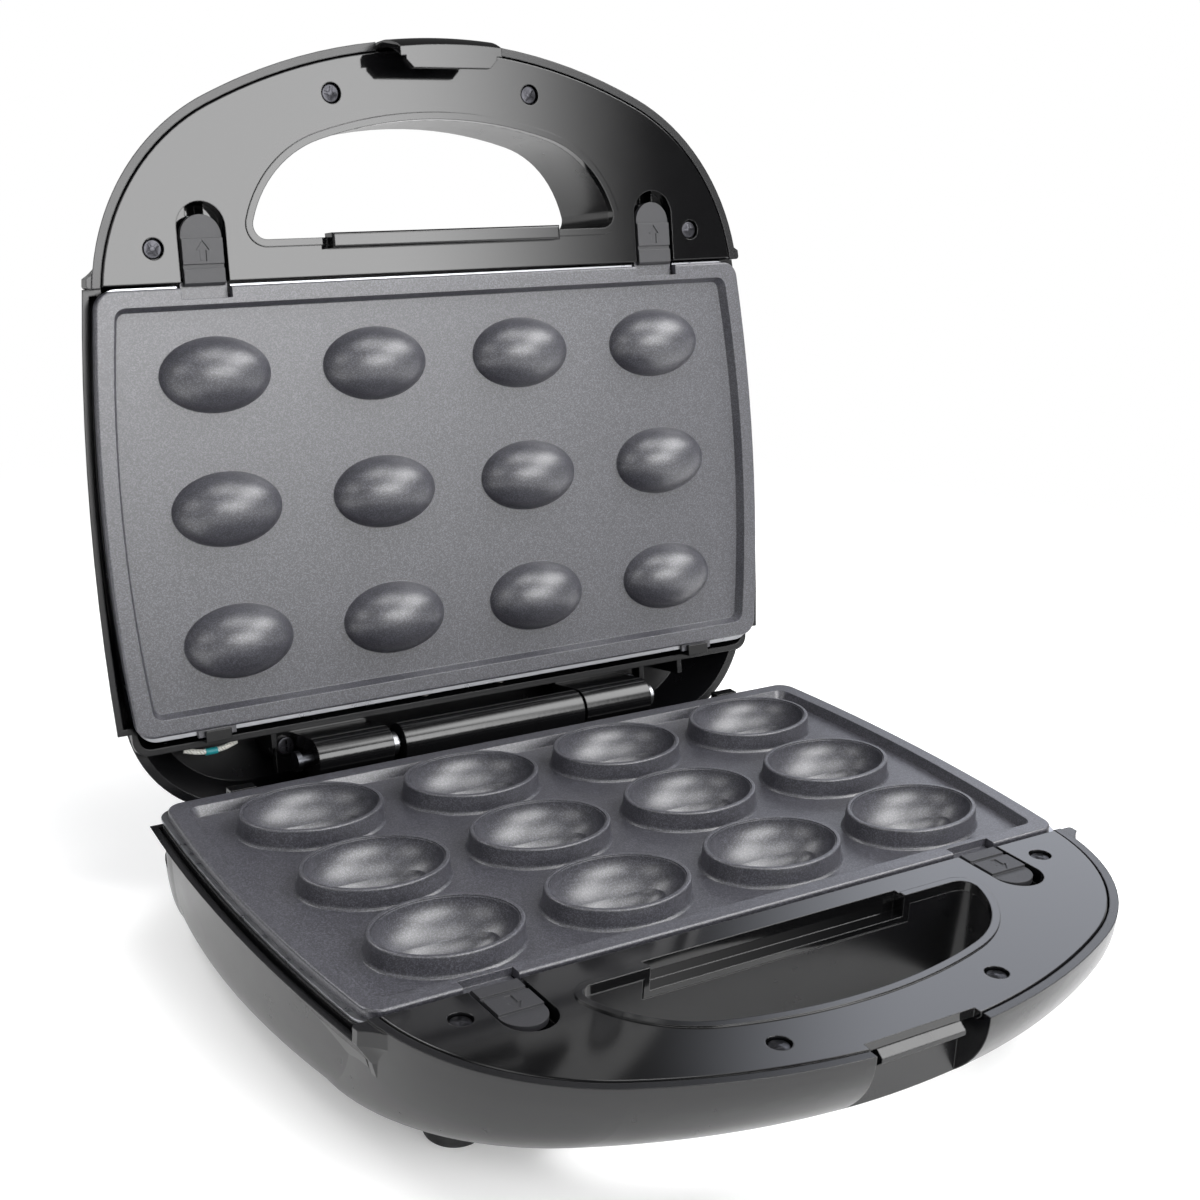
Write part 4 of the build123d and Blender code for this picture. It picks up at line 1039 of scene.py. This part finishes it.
# ------------------------------------------------------------------ studio
@dataclass
class Softbox:
    """One area lamp: its place, aim, size and power, and the share of its cloth that fades at the edges."""

    name: str
    place: Vec3
    size: tuple[float, float]
    watts: float
    colour: str = "#ffffff"
    aim: Vec3 = (0.0, 0.0, 0.08)
    fade: tuple[float, float] = (0.35, 0.15)

    def build(self) -> bpy.types.Object:
        """Hang the lamp.

        Returns:
            The lamp.
        """
        lamp = bpy.data.lights.new(self.name, "AREA")
        lamp.shape = "RECTANGLE"
        lamp.size, lamp.size_y = self.size
        lamp.energy = self.watts
        lamp.color = linear(self.colour)[:3]
        self.soften(lamp)
        item = bpy.data.objects.new(self.name, lamp)
        item.location = self.place
        item.rotation_euler = (Vector(self.aim) - Vector(self.place)).to_track_quat("-Z", "Y").to_euler()
        bpy.context.scene.collection.objects.link(item)
        return item

    def soften(self, lamp: bpy.types.Light) -> None:
        """Let the lamp's cloth fade towards its edges.

        Args:
            lamp: The lamp's light data.
        """
        lamp.use_nodes = True
        tree = lamp.node_tree
        across = add_node(tree, "ShaderNodeSeparateXYZ", None,
                          {0: add_node(tree, "ShaderNodeNewGeometry").outputs["Parametric"]})
        levels = []
        for axis, share in zip("XY", self.fade):
            edge = add_node(tree, "ShaderNodeMath", {"operation": "PINGPONG", 1: 0.5},
                            {0: across.outputs[axis]})
            ramp = add_node(tree, "ShaderNodeMapRange",
                            {"From Max": share, "interpolation_type": "SMOOTHSTEP"},
                            {"Value": edge.outputs["Value"]})
            levels.append(ramp.outputs["Result"])
        cloth = add_node(tree, "ShaderNodeMath", {"operation": "MULTIPLY"}, {0: levels[0], 1: levels[1]})
        tree.links.new(cloth.outputs["Value"], tree.nodes["Emission"].inputs["Strength"])


@dataclass
class Studio:
    """Floor, world light, softboxes and camera.

    The floor turns to plain white over the two distances of fade, and the white wall round the object to the
    darker ceiling over the two heights of wall_top. The camera's angles are in degrees.
    """

    floor_size: float = 30.0
    floor_drop: float = 0.0002
    floor_glow: float = 0.25
    fade: tuple[float, float] = (0.22, 0.6)
    wall_top: tuple[float, float] = (0.02, 0.16)
    ceiling: float = 0.08
    ambient: float = 0.3
    azimuth: float = -34.234
    elevation: float = 18.08
    roll: float = 3.128
    distance: float = 0.536
    target: Vec3 = (-0.00545, -0.002456, 0.1124)
    lens_mm: float = 57.725
    sensor_mm: float = 36.0
    shift: tuple[float, float] = (-0.00733, -0.00921)
    boxes: list[Softbox] = field(default_factory=lambda: [
        Softbox("softbox_front", (0.34, -1.3, 0.68), (1.385, 0.8), 28.0, fade=(0.25, 0.15)),
        Softbox("softbox_left", (-0.9, -0.5, 0.75), (1.1, 0.8), 6.5),
        Softbox("softbox_top", (0.1, -0.2, 1.15), (0.9, 0.6), 8.0),
        Softbox("softbox_right", (0.75, -0.35, 0.95), (1.2, 0.8), 24.0, fade=(0.3, 0.3)),
        Softbox("softbox_back", (-0.45, 0.75, 1.15), (1.0, 0.8), 15.0, fade=(0.3, 0.3)),
        Softbox("softbox_rear", (0.95, 0.62, 0.6), (0.8, 0.6), 3.4, "#f0f4ff"),
    ])

    def build(self) -> None:
        """Set up the whole studio."""
        self.floor()
        self.world()
        self.camera()
        for box in self.boxes:
            box.build()

    @staticmethod
    def seen(tree: bpy.types.NodeTree) -> bpy.types.NodeSocket:
        """Tell which rays show the background: straight, mirrored or through glass.

        Args:
            tree: Node tree that asks.

        Returns:
            A socket that gives 1 for such a ray and 0 for others.
        """
        path = add_node(tree, "ShaderNodeLightPath")
        first = add_node(tree, "ShaderNodeMath", {"operation": "MAXIMUM"},
                         {0: path.outputs["Is Camera Ray"], 1: path.outputs["Is Glossy Ray"]})
        both = add_node(tree, "ShaderNodeMath", {"operation": "MAXIMUM"},
                        {0: first.outputs["Value"], 1: path.outputs["Is Transmission Ray"]})
        return both.outputs["Value"]

    def floor(self) -> None:
        """Lay a plain pale floor that keeps the object's shadow and fades to white further out."""
        OBJECT.select_all(action="DESELECT")
        MESH.primitive_plane_add(size=self.floor_size, location=(0, 0, -self.floor_drop))
        sheet = bpy.context.object
        sheet.name = "floor"
        paper = bpy.data.materials.new("Matt white paper")
        paper.use_nodes = True
        tree = paper.node_tree
        shader = tree.nodes["Principled BSDF"]
        shader.inputs["Base Color"].default_value = linear("#f4f4f4")
        shader.inputs["Roughness"].default_value = 0.9
        shader.inputs["Emission Color"].default_value = linear("#ffffff")
        seen = self.seen(tree)
        glow = add_node(tree, "ShaderNodeMath", {"operation": "MULTIPLY", 1: self.floor_glow},
                        {0: seen})
        tree.links.new(glow.outputs["Value"], shader.inputs["Emission Strength"])
        place = add_node(tree, "ShaderNodeTexCoord").outputs["Object"]
        reach = add_node(tree, "ShaderNodeVectorMath", {"operation": "LENGTH"}, {0: place})
        far = add_node(tree, "ShaderNodeMapRange", {"From Min": self.fade[0], "From Max": self.fade[1],
                                                    "interpolation_type": "SMOOTHSTEP"},
                       {"Value": reach.outputs["Value"]})
        share = add_node(tree, "ShaderNodeMath", {"operation": "MULTIPLY"},
                         {0: far.outputs["Result"], 1: seen})
        white = add_node(tree, "ShaderNodeEmission", {"Color": linear("#ffffff"), "Strength": 1.0})
        mix = add_node(tree, "ShaderNodeMixShader", None,
                       {0: share.outputs["Value"], 1: shader.outputs["BSDF"],
                        2: white.outputs["Emission"]})
        tree.links.new(mix.outputs["Shader"], tree.nodes["Material Output"].inputs["Surface"])
        sheet.data.materials.append(paper)

    def world(self) -> None:
        """Light the object evenly, and show white behind it."""
        world = bpy.data.worlds.new("studio")
        bpy.context.scene.world = world
        world.use_nodes = True
        tree = world.node_tree
        back = tree.nodes["Background"]
        back.inputs["Color"].default_value = linear("#ffffff")
        height = add_node(tree, "ShaderNodeSeparateXYZ", None,
                          {0: add_node(tree, "ShaderNodeTexCoord").outputs["Generated"]})
        wall = add_node(tree, "ShaderNodeMapRange",
                        {"From Min": self.wall_top[0], "From Max": self.wall_top[1], "To Min": 1.0,
                         "To Max": self.ceiling, "interpolation_type": "SMOOTHSTEP"},
                        {"Value": height.outputs["Z"]})
        level = add_node(tree, "ShaderNodeMix", {"data_type": "FLOAT", "A": self.ambient},
                         {"Factor": self.seen(tree), "B": wall.outputs["Result"]})
        tree.links.new(level.outputs["Result"], back.inputs["Strength"])

    def camera(self) -> None:
        """Place the camera at its viewing angle."""
        turn, rise, roll = (math.radians(v) for v in (self.azimuth, self.elevation, self.roll))
        back = Vector((math.sin(turn) * math.cos(rise), -math.cos(turn) * math.cos(rise), math.sin(rise)))
        level = back.cross(Vector((0, 0, 1))).normalized() * -1
        up = back.cross(level)
        right = level * math.cos(roll) + up * math.sin(roll)
        up = up * math.cos(roll) - level * math.sin(roll)
        data = bpy.data.cameras.new("viewpoint")
        data.lens = self.lens_mm
        data.sensor_width = self.sensor_mm
        data.shift_x, data.shift_y = self.shift
        item = bpy.data.objects.new("viewpoint", data)
        place = Vector(self.target) + back * self.distance
        item.matrix_world = Matrix.Translation(place) @ Matrix((right, up, back)).transposed().to_4x4()
        bpy.context.scene.collection.objects.link(item)
        bpy.context.scene.camera = item


def main() -> None:
    """Build every sub-assembly in order, then the studio."""
    logging.basicConfig(level=logging.INFO, format="%(name)s %(message)s")
    opened = math.radians(OPEN_ANGLE)
    halves = (Half("base", face=(0, 0, 1), turns=(8, -31, 22, 64)),
              Half("lid", face=(0, -math.sin(opened), -math.cos(opened)), turns=(-12, 35, 5, 50)))
    for part in (*halves, Pockets(), ReleaseTabs(), Hinge(), Latch(), Electrics(), Feet()):
        LOG.info("%s: %d pieces", type(part).__name__, len(part.build()))
    Studio().build()
    bpy.context.scene.view_settings.view_transform = "Standard"


if __name__ == "__main__":
    main()
